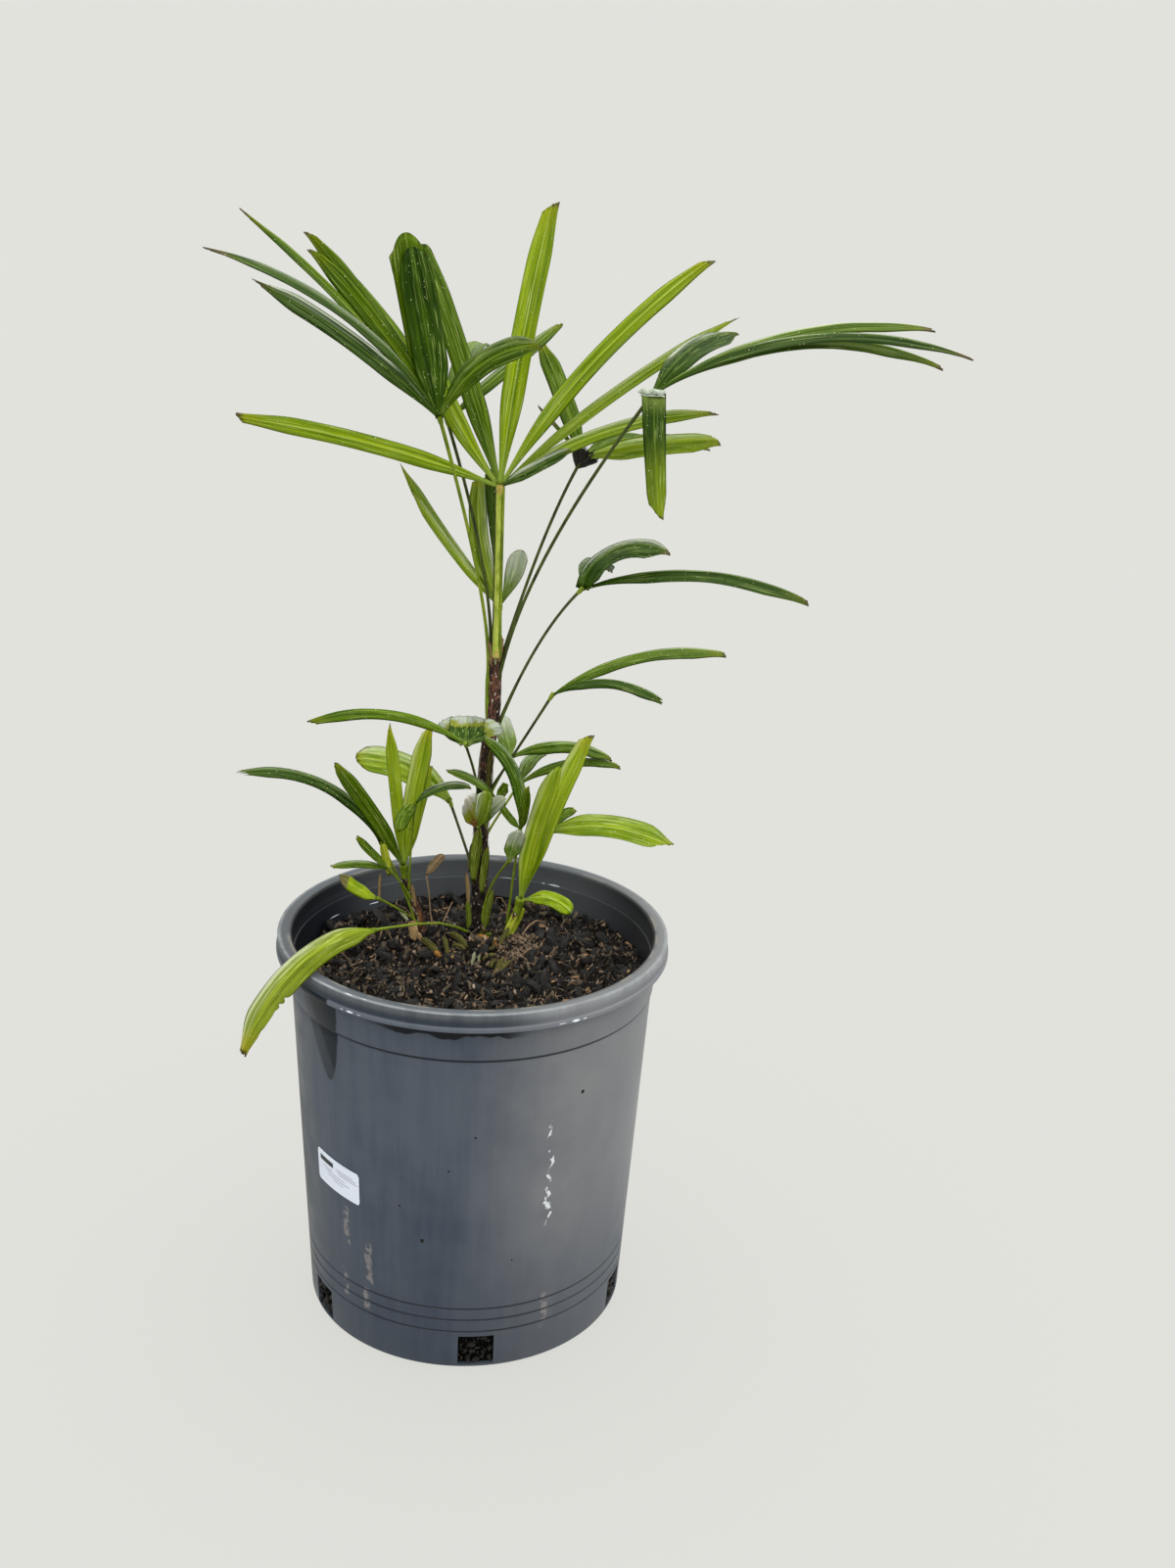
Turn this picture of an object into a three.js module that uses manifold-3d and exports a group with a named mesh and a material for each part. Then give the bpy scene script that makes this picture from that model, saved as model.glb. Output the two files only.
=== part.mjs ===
// Lady palm (Rhapis) in a round nursery pot, at real size.
//
// Frame: millimetres, +Z up, origin at the centre of the pot's flat underside.
// -Y is the front of the plant, +X its right-hand side.
// The pot is a hollow shell with drain windows at its foot. It is filled with potting mix, and three
// stems stand on the mix: the tall main stem and two young shoots. Every frond is a solid of its own:
// a stalk that seats on its stem, a small knuckle, and strap-shaped leaflets that spread from it.
import * as THREE from "three";
import { mergeVertices } from "three/addons/utils/BufferGeometryUtils.js";
import Module from "manifold-3d";

const wasm = await Module();
wasm.setup();

// ---------------------------------------------------------------- driving dimensions
const potHeight = 309.4;
const rimRadius = 150;
const rimInnerRadius = 138;
const rimDepth = 17.4;
const rimEdgeRound = 2.2;
const rimSkirtThickness = 2.6;
const rimFlangeThickness = 3;
const collarFootRadius = 138.7;
const collarFootHeight = 268.3;
const collarTopRadius = 142;
const collarStep = 1.2;
const bodyTaper = 0.048;
const wallThickness = 2.2;
const floorThickness = 2.5;
const footChamfer = 1.5;
const innerLedgeHeight = 289;
const innerLedgeWidth = 1.5;
const potSegments = 60;

const drainWindowWidth = 27;
const drainWindowHeight = 26;
const frontDrainAngle = -86;
const drainOffsets = [0, 65, 125, 180, 235, 295];

const soilHeight = 278;
const seatGap = 0.3;

const labelAngle = -137.5;
const labelSpan = 21;
const labelCentreHeight = 143;
const labelHeight = 27;
const labelFall = 3;
const labelThickness = 0.6;

const bladeThinness = 90;
const thinnestBlade = 1.5;
const slimRoot = 0.22;
const knuckleRadius = 3;
const stalkSides = 6;
const stemSides = 10;

// ---------------------------------------------------------------- small helpers
const radians = THREE.MathUtils.degToRad;
const upward = new THREE.Vector3(0, 0, 1);

function bodyRadius(height) {
  return collarFootRadius - (collarFootHeight - height) * bodyTaper;
}

// The unit vector that points along a heading (degrees from +X toward +Y) and a rise above the level.
function direction(heading, rise) {
  const level = Math.cos(radians(rise));
  return new THREE.Vector3(
    level * Math.cos(radians(heading)),
    level * Math.sin(radians(heading)),
    Math.sin(radians(rise)),
  );
}

// A closed solid through rings of points that run anticlockwise round the way of travel.
function loft(rings) {
  const sides = rings[0].length;
  const positions = rings.flat().flatMap((point) => point.toArray());
  const index = [];
  for (let ring = 0; ring < rings.length - 1; ring += 1) {
    for (let side = 0; side < sides; side += 1) {
      const next = (side + 1) % sides;
      const a = ring * sides + side;
      const b = ring * sides + next;
      index.push(a, b, b + sides, a, b + sides, a + sides);
    }
  }
  const last = (rings.length - 1) * sides;
  for (let side = 1; side < sides - 1; side += 1) {
    index.push(0, side + 1, side);
    index.push(last, last + side, last + side + 1);
  }
  const geometry = new THREE.BufferGeometry();
  geometry.setAttribute("position", new THREE.Float32BufferAttribute(positions, 3));
  geometry.setIndex(index);
  return geometry;
}

// A round limb along a curve, whose radius is given at each share of its length.
function limb(curve, radiusAt, sides, steps) {
  const frames = curve.computeFrenetFrames(steps, false);
  const rings = [];
  for (let step = 0; step <= steps; step += 1) {
    const share = step / steps;
    const centre = curve.getPointAt(share);
    const ring = [];
    for (let side = 0; side < sides; side += 1) {
      const angle = (2 * Math.PI * side) / sides;
      ring.push(
        centre
          .clone()
          .addScaledVector(frames.normals[step], radiusAt(share) * Math.cos(angle))
          .addScaledVector(frames.binormals[step], radiusAt(share) * Math.sin(angle)),
      );
    }
    rings.push(ring);
  }
  return loft(rings);
}

function toSolid(geometry) {
  const bare = geometry.index ? geometry.clone() : geometry;
  bare.deleteAttribute("normal");
  bare.deleteAttribute("uv");
  const merged = mergeVertices(bare, 1e-4);
  return new wasm.Manifold(
    new wasm.Mesh({
      numProp: 3,
      vertProperties: new Float32Array(merged.attributes.position.array),
      triVerts: new Uint32Array(merged.index.array),
    }),
  );
}

function toGeometry(solid) {
  const mesh = solid.getMesh();
  const geometry = new THREE.BufferGeometry();
  geometry.setAttribute("position", new THREE.BufferAttribute(mesh.vertProperties, 3));
  geometry.setIndex(new THREE.BufferAttribute(mesh.triVerts, 1));
  geometry.computeVertexNormals();
  return geometry;
}

function fuse(geometries) {
  return geometries.map(toSolid).reduce((whole, piece) => whole.add(piece));
}

const group = new THREE.Group();

function addNode(name, geometry, colour, roughness) {
  const material = new THREE.MeshStandardMaterial({ color: colour, roughness, metalness: 0 });
  const mesh = new THREE.Mesh(geometry, material);
  mesh.name = name;
  group.add(mesh);
}

// ---------------------------------------------------------------- pot
// A LatheGeometry turns its profile about Y, so the pot is turned upright afterwards.
function turned(profile, segments) {
  const points = profile.map(([radius, height]) => new THREE.Vector2(radius, height));
  return new THREE.LatheGeometry(points, segments).rotateX(Math.PI / 2);
}

function drainCutter(angle) {
  const reach = 20;
  const box = new THREE.BoxGeometry(reach, drainWindowWidth, drainWindowHeight);
  box.translate(bodyRadius(0), 0, floorThickness + drainWindowHeight / 2);
  return toSolid(box.rotateZ(radians(angle)));
}

// The rim is a flat flange with a skirt that hangs clear of the wall, open underneath.
function makePot() {
  const shell = turned(
    [
      [0, 0],
      [bodyRadius(0) - footChamfer, 0],
      [bodyRadius(0), footChamfer],
      [collarFootRadius, collarFootHeight],
      [collarFootRadius + collarStep, collarFootHeight + collarStep],
      [collarTopRadius, potHeight - rimDepth],
      [collarTopRadius, potHeight - rimFlangeThickness],
      [rimRadius - rimSkirtThickness, potHeight - rimFlangeThickness],
      [rimRadius - rimSkirtThickness, potHeight - rimDepth],
      [rimRadius, potHeight - rimDepth],
      [rimRadius, potHeight - rimEdgeRound],
      [rimRadius - rimEdgeRound, potHeight],
      [rimInnerRadius + rimEdgeRound, potHeight],
      [rimInnerRadius, potHeight - rimEdgeRound],
      [rimInnerRadius, innerLedgeHeight + innerLedgeWidth],
      [rimInnerRadius - innerLedgeWidth, innerLedgeHeight],
      [bodyRadius(floorThickness) - wallThickness, floorThickness],
      [0, floorThickness],
    ],
    potSegments,
  );
  let pot = toSolid(shell);
  for (const offset of drainOffsets) {
    pot = pot.subtract(drainCutter(frontDrainAngle + offset));
  }
  return toGeometry(pot);
}

// The inner wall runs straight from the ledge down to the floor.
function innerRadius(height) {
  const low = bodyRadius(floorThickness) - wallThickness;
  const high = rimInnerRadius - innerLedgeWidth;
  return THREE.MathUtils.mapLinear(height, floorThickness, innerLedgeHeight, low, high);
}

function makeSoil() {
  const bottom = floorThickness + seatGap;
  return turned(
    [
      [0, bottom],
      [innerRadius(bottom) - seatGap, bottom],
      [innerRadius(soilHeight) - seatGap, soilHeight],
      [0, soilHeight],
    ],
    potSegments,
  );
}

// A sticker bent round the wall, lower at its right-hand end.
function makeLabel() {
  const steps = 8;
  const rings = [];
  for (let step = 0; step <= steps; step += 1) {
    const share = step / steps - 0.5;
    const angle = radians(labelAngle + share * labelSpan);
    const middle = labelCentreHeight - share * labelFall;
    const corners = [];
    for (const [side, layer] of [[-1, 0], [-1, 1], [1, 1], [1, 0]]) {
      const height = middle + (side * labelHeight) / 2;
      const radius = bodyRadius(height) + seatGap + layer * labelThickness;
      corners.push(new THREE.Vector3(radius * Math.cos(angle), radius * Math.sin(angle), height));
    }
    rings.push(corners.reverse());
  }
  return loft(rings);
}

addNode("pot", makePot(), 0x5b666f, 0.45);
addNode("soil", toGeometry(toSolid(makeSoil())), 0x2b211a, 0.95);
addNode("label", makeLabel(), 0xe4e4e2, 0.6);

// ---------------------------------------------------------------- stems
// Each stem has its foot on the soil and leans to its top. The radius falls from the flared foot.
const stems = {
  main_stem: {
    foot: [3, 69], bend: [1, 66, 430], top: [11, 66, 519],
    footRadius: 8.2, radius: 6.4, topRadius: 4.4,
  },
  left_shoot_stem: {
    foot: [-41, 59], bend: [-49, 59, 305], top: [-56, 58, 324],
    footRadius: 4.8, radius: 3.8, topRadius: 2.8,
  },
  right_shoot_stem: {
    foot: [27, 48], bend: [30, 46, 290], top: [34, 43, 303],
    footRadius: 5, radius: 4.2, topRadius: 3.4,
  },
};
const footFlareShare = 0.08;

for (const stem of Object.values(stems)) {
  const foot = new THREE.Vector3(...stem.foot, soilHeight + seatGap);
  stem.curve = new THREE.QuadraticBezierCurve3(
    foot,
    new THREE.Vector3(...stem.bend),
    new THREE.Vector3(...stem.top),
  );
  stem.radiusAt = (share) => {
    const shaft = THREE.MathUtils.lerp(stem.radius, stem.topRadius, share);
    const flare = Math.max(0, 1 - share / footFlareShare);
    return shaft + (stem.footRadius - stem.radius) * flare * flare;
  };
}

// The foot is sliced level at the soil, so that the leaning stem stands on a flat cut.
function makeStem(stem, extra) {
  const steps = 14;
  const shaft = toSolid(limb(stem.curve, (share) => stem.radiusAt(share) + extra, stemSides, steps));
  const reach = 60;
  const slab = new THREE.BoxGeometry(reach, reach, reach);
  slab.translate(...stem.foot, soilHeight + seatGap - reach / 2);
  return shaft.subtract(toSolid(slab));
}

// The place on a stem's curve at a height above the pot's underside.
function stemPlace(stem, height) {
  let low = 0;
  let high = 1;
  for (let halving = 0; halving < 24; halving += 1) {
    const middle = (low + high) / 2;
    if (stem.curve.getPointAt(middle).z < height) {
      low = middle;
    } else {
      high = middle;
    }
  }
  return low;
}

for (const [name, stem] of Object.entries(stems)) {
  addNode(name, toGeometry(makeStem(stem, 0)), 0x47301f, 0.9);
  stem.sleeve = makeStem(stem, seatGap);
}

// ---------------------------------------------------------------- fronds
// A leaflet leaves its knuckle along heading and rise, and its rise falls by droop along its length.
// A twist turns the blade about its own rib. The root share is how wide it starts. All angles are
// degrees, all lengths millimetres.
function leaflet(heading, rise, droop, length, width, twist = 0, rootShare = slimRoot) {
  return { heading, rise, droop, length, width, twist, rootShare };
}

const tipWidthShare = 0.4;
const broadFrom = 0.34;
const narrowFrom = 0.8;
const foldShare = 0.12;
const bladeStations = [0, 0.1, 0.22, 0.38, 0.56, 0.74, 0.9, 1];

// The share of the full width that the strap has at a share of its length.
function outline(share, rootShare) {
  const spread = THREE.MathUtils.smoothstep(share, 0, broadFrom);
  const taper = THREE.MathUtils.smoothstep(share, narrowFrom, 1);
  return (rootShare + (1 - rootShare) * spread) * (1 - (1 - tipWidthShare) * taper);
}

// The rib is an arc in the upright plane of its heading.
function ribPoint(leaf, share) {
  const ways = 12;
  const point = new THREE.Vector3();
  for (let step = 0; step < ways; step += 1) {
    const middle = ((step + 0.5) / ways) * share;
    const way = direction(leaf.heading, leaf.rise - leaf.droop * middle);
    point.addScaledVector(way, (leaf.length * share) / ways);
  }
  return point;
}

function makeLeaflet(knuckle, face, leaf) {
  const halfThickness = Math.max(thinnestBlade, leaf.length / bladeThinness) / 2;
  const rings = bladeStations.map((share) => {
    const way = direction(leaf.heading, leaf.rise - leaf.droop * share);
    const across = new THREE.Vector3().crossVectors(face, way).normalize();
    across.applyAxisAngle(way, radians(leaf.twist));
    const normal = new THREE.Vector3().crossVectors(way, across);
    const centre = ribPoint(leaf, share).add(knuckle);
    const half = (leaf.width * outline(share, leaf.rootShare)) / 2;
    const lift = foldShare * half;
    const corner = (side, height) => {
      const point = centre.clone().addScaledVector(across, side);
      return point.addScaledVector(normal, height);
    };
    return [corner(0, halfThickness), corner(-half, lift), corner(0, -halfThickness), corner(half, lift)];
  });
  return loft(rings);
}

// The stalk leaves its stem, goes up beside it and bends out to the knuckle.
function stalkCurve(frond) {
  const stem = stems[frond.on];
  const knuckle = new THREE.Vector3(...frond.knuckle);
  if (frond.side === "tip") {
    const top = stem.curve.getPointAt(1).addScaledVector(stem.curve.getTangentAt(1), seatGap);
    return new THREE.LineCurve3(top, knuckle);
  }
  const place = stemPlace(stem, frond.height);
  const seat = stem.curve.getPointAt(place);
  seat.addScaledVector(direction(frond.side, 0), stem.radiusAt(place));
  const bend = seat.clone().addScaledVector(upward, frond.upright);
  bend.x += (knuckle.x - seat.x) * frond.lean;
  bend.y += (knuckle.y - seat.y) * frond.lean;
  return new THREE.QuadraticBezierCurve3(seat, bend, knuckle);
}

const fronds = {
  frond_top_front: {
    on: "main_stem", height: 508, side: -90, upright: 50, lean: 0.4,
    knuckle: [11, 52, 638], stalk: 2.2,
    face: [-90, 25],
    leaflets: [
      leaflet(-171, 21, 14, 196, 14),
      leaflet(164, 47, -39, 176, 14),
      leaflet(137, 66, 6, 186, 16),
      leaflet(52, 81, 12, 208, 18),
      leaflet(7, 60, 24, 226, 14),
      leaflet(21, 40, 14, 228, 9),
      leaflet(16, 35, 35, 182, 10),
      leaflet(-13, 31, 0, 61, 9),
    ],
  },
  frond_top_left: {
    on: "main_stem", height: 494, side: 185, upright: 55, lean: 0,
    knuckle: [-33, 28, 689], stalk: 1.5,
    face: [-95, 20],
    leaflets: [
      leaflet(-164, 52, 15, 194, 14, 55),
      leaflet(-155, 55, 43, 205, 14, 50),
      leaflet(-144, 41, 17, 175, 14),
      leaflet(-169, 60, 14, 155, 14),
      leaflet(-163, 78, 0, 127, 26),
      leaflet(-38, 62, 58, 110, 16),
    ],
  },
  frond_top_left_rear: {
    on: "main_stem", height: 505, side: 140, upright: 65, lean: 0,
    knuckle: [-29, 75, 682], stalk: 1.4,
    face: [-90, 60],
    leaflets: [
      leaflet(41, 31, 0, 133, 12),
      leaflet(80, 42, 55, 170, 16),
      leaflet(120, 66, 30, 150, 16),
      leaflet(158, 58, 20, 150, 14),
    ],
  },
  frond_top_right_rear: {
    on: "main_stem", height: 498, side: 40, upright: 100, lean: 0.65,
    knuckle: [74, 105, 654], stalk: 1.4,
    face: [-90, 55],
    leaflets: [
      leaflet(117, 54, 14, 107, 16),
      leaflet(-14, 21, 20, 108, 22),
      leaflet(128, 30, 0, 65, 4),
      leaflet(20, 21, 36, 110, 16),
      leaflet(50, 22, 45, 108, 16),
    ],
  },
  frond_top_right: {
    on: "main_stem", height: 495, side: -25, upright: 75, lean: 0.3,
    knuckle: [119, 40, 711], stalk: 1.5,
    face: [-80, 65],
    leaflets: [
      leaflet(-72, -76, -9, 91, 18, 0, 0.95),
      leaflet(46, 48, 53, 110, 20),
      leaflet(8, 35, 43, 221, 14),
      leaflet(-5, 38, 61, 217, 15),
      leaflet(-10, 37, 56, 235, 12),
    ],
  },
  frond_young_centre: {
    on: "main_stem", side: "tip", knuckle: [13, 74, 543], stalk: 2,
    face: [-90, 30],
    leaflets: [
      leaflet(167, 47, -11, 131, 7),
      leaflet(175, 46, -11, 111, 7),
      leaflet(160, 63, -33, 95, 15),
      leaflet(146, 77, -12, 90, 8),
      leaflet(0, 62, -27, 47, 17),
    ],
  },
  frond_mid_right: {
    on: "main_stem", height: 451, side: 0, upright: 72, lean: 0.45,
    knuckle: [77, 95, 554], stalk: 1.4,
    face: [-80, 70],
    leaflets: [
      leaflet(-18, 78, 108, 90, 20),
      leaflet(-12, 25, 48, 183, 18),
      leaflet(70, 40, 80, 105, 16),
    ],
  },
  frond_lower_right: {
    on: "main_stem", height: 398, side: -15, upright: 25, lean: 0.3,
    knuckle: [55, 40, 484], stalk: 1.3,
    face: [-90, 70],
    leaflets: [
      leaflet(-10, 43, 50, 141, 14),
      leaflet(-32, 40, 68, 103, 12),
    ],
  },
  frond_low_left: {
    on: "main_stem", height: 391, side: 220, upright: 15, lean: 0,
    knuckle: [-10, 22, 449], stalk: 1.2,
    face: [-90, 60],
    leaflets: [
      leaflet(-168, 40, 60, 126, 11),
      leaflet(130, 40, 60, 30, 15),
      leaflet(80, 35, 60, 34, 17),
      leaflet(25, 35, 50, 32, 15),
    ],
  },
  frond_stem_front: {
    on: "main_stem", height: 353, side: -95, upright: 15, lean: 0.3,
    knuckle: [1, 38, 377], stalk: 1.3,
    face: [-90, 40],
    leaflets: [
      leaflet(-110, 50, 10, 40, 14),
      leaflet(-63, 37, -19, 46, 14),
    ],
  },
  frond_stem_pair: {
    on: "main_stem", height: 376, side: -50, upright: 8, lean: 0.2,
    knuckle: [15, 50, 395], stalk: 1.2,
    face: [-90, 50],
    leaflets: [
      leaflet(-163, 50, 35, 50, 8),
      leaflet(-44, 53, 0, 20, 10),
    ],
  },
  frond_low_right_upper: {
    on: "main_stem", height: 389, side: 30, upright: 10, lean: 0.3,
    knuckle: [26, 95, 415], stalk: 1.2,
    face: [-90, 60],
    leaflets: [
      leaflet(16, 25, 60, 92, 14),
      leaflet(110, 60, 40, 42, 13),
    ],
  },
  frond_low_right_lower: {
    on: "main_stem", height: 357, side: 40, upright: 8, lean: 0.2,
    knuckle: [33, 100, 390], stalk: 1.2,
    face: [-90, 60],
    leaflets: [leaflet(13, 38, 62, 92, 10), leaflet(70, 35, 60, 70, 12)],
  },
  frond_low_left_rear: {
    on: "main_stem", height: 324, side: 150, upright: 12, lean: 0.2,
    knuckle: [-22, 100, 374], stalk: 1.3,
    face: [-80, 45],
    leaflets: [leaflet(177, 50, 54, 88, 20), leaflet(130, 40, 70, 80, 14)],
  },
  frond_foot_small: {
    on: "main_stem", height: 288, side: -60, upright: 30, lean: 0.1,
    knuckle: [26, 38, 348], stalk: 1.1,
    face: [-90, 20],
    leaflets: [leaflet(-47, 76, 13, 32, 13)],
  },
  frond_over_rim: {
    on: "main_stem", height: 287, side: -140, upright: 20, lean: 0.3,
    knuckle: [-75, -35, 320], stalk: 1.4,
    face: [-100, 65],
    leaflets: [leaflet(-130, 17, 80, 148, 21)],
  },
  shoot_right_tall_leaf: {
    on: "right_shoot_stem", side: "tip", knuckle: [36, 42, 313], stalk: 3.2,
    face: [-90, 20],
    leaflets: [leaflet(-42, 83, 17, 128, 15), leaflet(20, 75, 13, 146, 15)],
  },
  shoot_right_wide_leaf: {
    on: "right_shoot_stem", height: 292, side: 45, upright: 30, lean: 0.1,
    knuckle: [54, 60, 364], stalk: 1.3,
    face: [-90, 55],
    leaflets: [leaflet(-18, 25, 48, 107, 22), leaflet(39, 41, 40, 36, 9)],
  },
  shoot_right_round_leaf: {
    on: "right_shoot_stem", height: 296, side: -50, upright: 12, lean: 0.2,
    knuckle: [40, 20, 323], stalk: 1.1,
    face: [-90, 60],
    leaflets: [leaflet(-29, 40, 79, 43, 15)],
  },
  shoot_right_curved_leaf: {
    on: "right_shoot_stem", height: 288, side: 150, upright: 45, lean: 0.4,
    knuckle: [34, 38, 375], stalk: 1.1,
    face: [-90, 35],
    leaflets: [leaflet(-144, 97, 65, 95, 12), leaflet(143, 28, -20, 26, 6), leaflet(-83, 40, -37, 55, 7)],
  },
  shoot_left_fan: {
    on: "left_shoot_stem", side: "tip", knuckle: [-57, 58, 333], stalk: 2.6,
    face: [-90, 30],
    leaflets: [
      leaflet(-144, 63, 12, 119, 12),
      leaflet(171, 84, 0, 120, 10),
      leaflet(6, 85, 8, 119, 15),
      leaflet(60, 66, 5, 84, 10),
    ],
  },
  shoot_left_small_leaf: {
    on: "left_shoot_stem", height: 316, side: -80, upright: 40, lean: 0.2,
    knuckle: [-48, 45, 391], stalk: 1,
    face: [-90, 50],
    leaflets: [leaflet(-7, 54, 67, 50, 8), leaflet(-120, 0, 68, 30, 11)],
  },
  shoot_left_long_leaf: {
    on: "left_shoot_stem", height: 290, side: 190, upright: 30, lean: 0.4,
    knuckle: [-75, 60, 352], stalk: 1.3,
    face: [-90, 60],
    leaflets: [leaflet(-162, 70, 79, 145, 12)],
  },
  shoot_left_low_leaf: {
    on: "left_shoot_stem", height: 308, side: -110, upright: 12, lean: 0.3,
    knuckle: [-68, 48, 335], stalk: 1.1,
    face: [-90, 60],
    leaflets: [leaflet(-163, 44, -9, 40, 8), leaflet(-158, 28, 37, 49, 8)],
  },
  shoot_left_brown_leaf: {
    on: "left_shoot_stem", height: 285, side: -110, upright: 15, lean: 0.3,
    knuckle: [-75, 20, 322], stalk: 1.1,
    face: [-90, 50],
    leaflets: [leaflet(-144, 28, -21, 45, 12)],
  },
};

function makeFrond(frond) {
  const curve = stalkCurve(frond);
  const face = direction(...frond.face);
  const knuckle = new THREE.Vector3(...frond.knuckle);
  const stalkSteps = frond.side === "tip" ? 2 : 9;
  const ball = new THREE.SphereGeometry(Math.max(knuckleRadius, frond.stalk * 1.2), 8, 6);
  ball.translate(...frond.knuckle);
  const pieces = [limb(curve, () => frond.stalk, stalkSides, stalkSteps), ball];
  for (const leaf of frond.leaflets) {
    pieces.push(makeLeaflet(knuckle, face, leaf));
  }
  return fuse(pieces).subtract(stems[frond.on].sleeve);
}

for (const [name, frond] of Object.entries(fronds)) {
  addNode(name, toGeometry(makeFrond(frond)), 0x5f8f1e, 0.4);
}

// ---------------------------------------------------------------- dry leaf
// A dead leaf stands in the soil on its own thin stalk, beside the left shoot.
function makeDryLeaf() {
  const knuckle = new THREE.Vector3(-39, 57, 327);
  const foot = new THREE.Vector3(-33, 55, soilHeight + seatGap);
  const stalk = limb(new THREE.LineCurve3(foot, knuckle), () => 1, stalkSides, 2);
  const ball = new THREE.SphereGeometry(1.5, 8, 6).translate(...knuckle.toArray());
  const blade = makeLeaflet(knuckle, direction(-90, 30), leaflet(-9, 60, 13, 24, 8));
  return toGeometry(fuse([stalk, ball, blade]));
}

addNode("dry_leaf", makeDryLeaf(), 0xa58a5e, 0.8);

export default group;
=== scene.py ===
# %% [markdown]
# # A lady palm in its nursery pot
# This lesson dresses a small palm that was first made as plain solids. The real plant has a slim stem
# wrapped in brown fibre, thin stalks, and fans of pleated strap-shaped leaflets with blunt toothed tips.
# It stands in a moulded plastic pot of damp potting mix. Each solid says where a thing is and how large.
# Here every one of them gets its real surface: pleats, ribs, fibres, crumbs, scuffs and drops of water.

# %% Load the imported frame
import math
import bpy
import numpy as np
from mathutils import Vector, Matrix, noise


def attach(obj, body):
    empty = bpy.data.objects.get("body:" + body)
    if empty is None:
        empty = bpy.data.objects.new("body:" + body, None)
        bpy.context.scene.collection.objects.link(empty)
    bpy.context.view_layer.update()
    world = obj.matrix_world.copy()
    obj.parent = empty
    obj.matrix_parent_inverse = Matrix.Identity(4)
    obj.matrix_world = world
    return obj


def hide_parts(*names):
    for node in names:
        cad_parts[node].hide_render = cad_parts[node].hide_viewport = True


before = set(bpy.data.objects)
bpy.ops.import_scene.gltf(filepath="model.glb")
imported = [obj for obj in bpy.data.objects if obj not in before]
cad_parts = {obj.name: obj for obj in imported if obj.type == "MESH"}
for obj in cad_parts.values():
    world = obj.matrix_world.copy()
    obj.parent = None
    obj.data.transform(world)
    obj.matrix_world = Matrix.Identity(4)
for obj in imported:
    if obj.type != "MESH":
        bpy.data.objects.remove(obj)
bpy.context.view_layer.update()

scene = bpy.context.scene
collection = scene.collection
MM = 0.001
print("solids loaded:", len(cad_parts))

# %% [markdown]
# ## The camera
# The camera stands a little above the crown and looks down into the pot. It is set from real numbers:
# where it stands, how far it turns and dips, how it rolls, and how long its lens is. The lens is worked
# out from a frame 1601 pixels high, so the picture keeps its scale at any render size.

# %% Camera
CAMERA_PLACE = Vector((0.0, -1.174, 0.839))
CAMERA_YAW, CAMERA_PITCH, CAMERA_ROLL = (math.radians(a) for a in (4.00, 19.29, 2.71))
FRAME_HEIGHT_PIXELS = 1601
FOCAL_LENGTH_PIXELS = 1700
SENSOR_MM = 36

level_ahead = Vector((math.sin(CAMERA_YAW), math.cos(CAMERA_YAW), 0))
level_right = Vector((math.cos(CAMERA_YAW), -math.sin(CAMERA_YAW), 0))
up = Vector((0, 0, 1))
ahead = level_ahead * math.cos(CAMERA_PITCH) - up * math.sin(CAMERA_PITCH)
dipped_up = up * math.cos(CAMERA_PITCH) + level_ahead * math.sin(CAMERA_PITCH)
right = level_right * math.cos(CAMERA_ROLL) + dipped_up * math.sin(CAMERA_ROLL)
rolled_up = dipped_up * math.cos(CAMERA_ROLL) - level_right * math.sin(CAMERA_ROLL)

camera_data = bpy.data.cameras.new("camera")
camera_data.sensor_width = SENSOR_MM
camera_data.lens = SENSOR_MM * FOCAL_LENGTH_PIXELS / FRAME_HEIGHT_PIXELS
camera_data.clip_end = 100
camera = bpy.data.objects.new("camera", camera_data)
axes = Matrix((right, rolled_up, -ahead)).transposed().to_4x4()
camera.matrix_world = Matrix.Translation(CAMERA_PLACE) @ axes
collection.objects.link(camera)
scene.camera = camera
print("lens:", round(camera_data.lens, 2), "mm")

# %% [markdown]
# ## Wires: a short way to write node trees
# A node tree with thirty Math nodes is hard to read as code. A `Wire` stands for one value on its way
# through a tree. Adding or multiplying two wires adds the node that does it, so a tree reads like a sum.
# The same class serves geometry trees and shader trees, because both use the same Math nodes.

# %% Wires
def feed(tree, value, socket):
    """Joins a wire or a node's first output to a socket, or sets the socket's own value."""
    if isinstance(value, bpy.types.Node):
        tree.links.new(value.outputs[0], socket)
    elif isinstance(value, Wire):
        tree.links.new(value.socket, socket)
    elif socket.type == "VECTOR" and isinstance(value, (int, float)):
        socket.default_value = (value, value, value)
    elif socket.type == "RGBA" and len(value) == 3:
        socket.default_value = (*value, 1)
    else:
        socket.default_value = value


def put(tree, kind, inputs=None, **settings):
    """Adds a node, sets its choices and joins its inputs, named or numbered."""
    node = tree.nodes.new(kind)
    for name, value in settings.items():
        setattr(node, name, value)
    for name, value in (inputs or {}).items():
        feed(tree, value, node.inputs[name])
    return node


def draw(tree, kind, inputs=None, output=0, **settings):
    """Adds a node and returns one of its outputs as a wire."""
    return Wire(tree, put(tree, kind, inputs, **settings).outputs[output])


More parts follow.
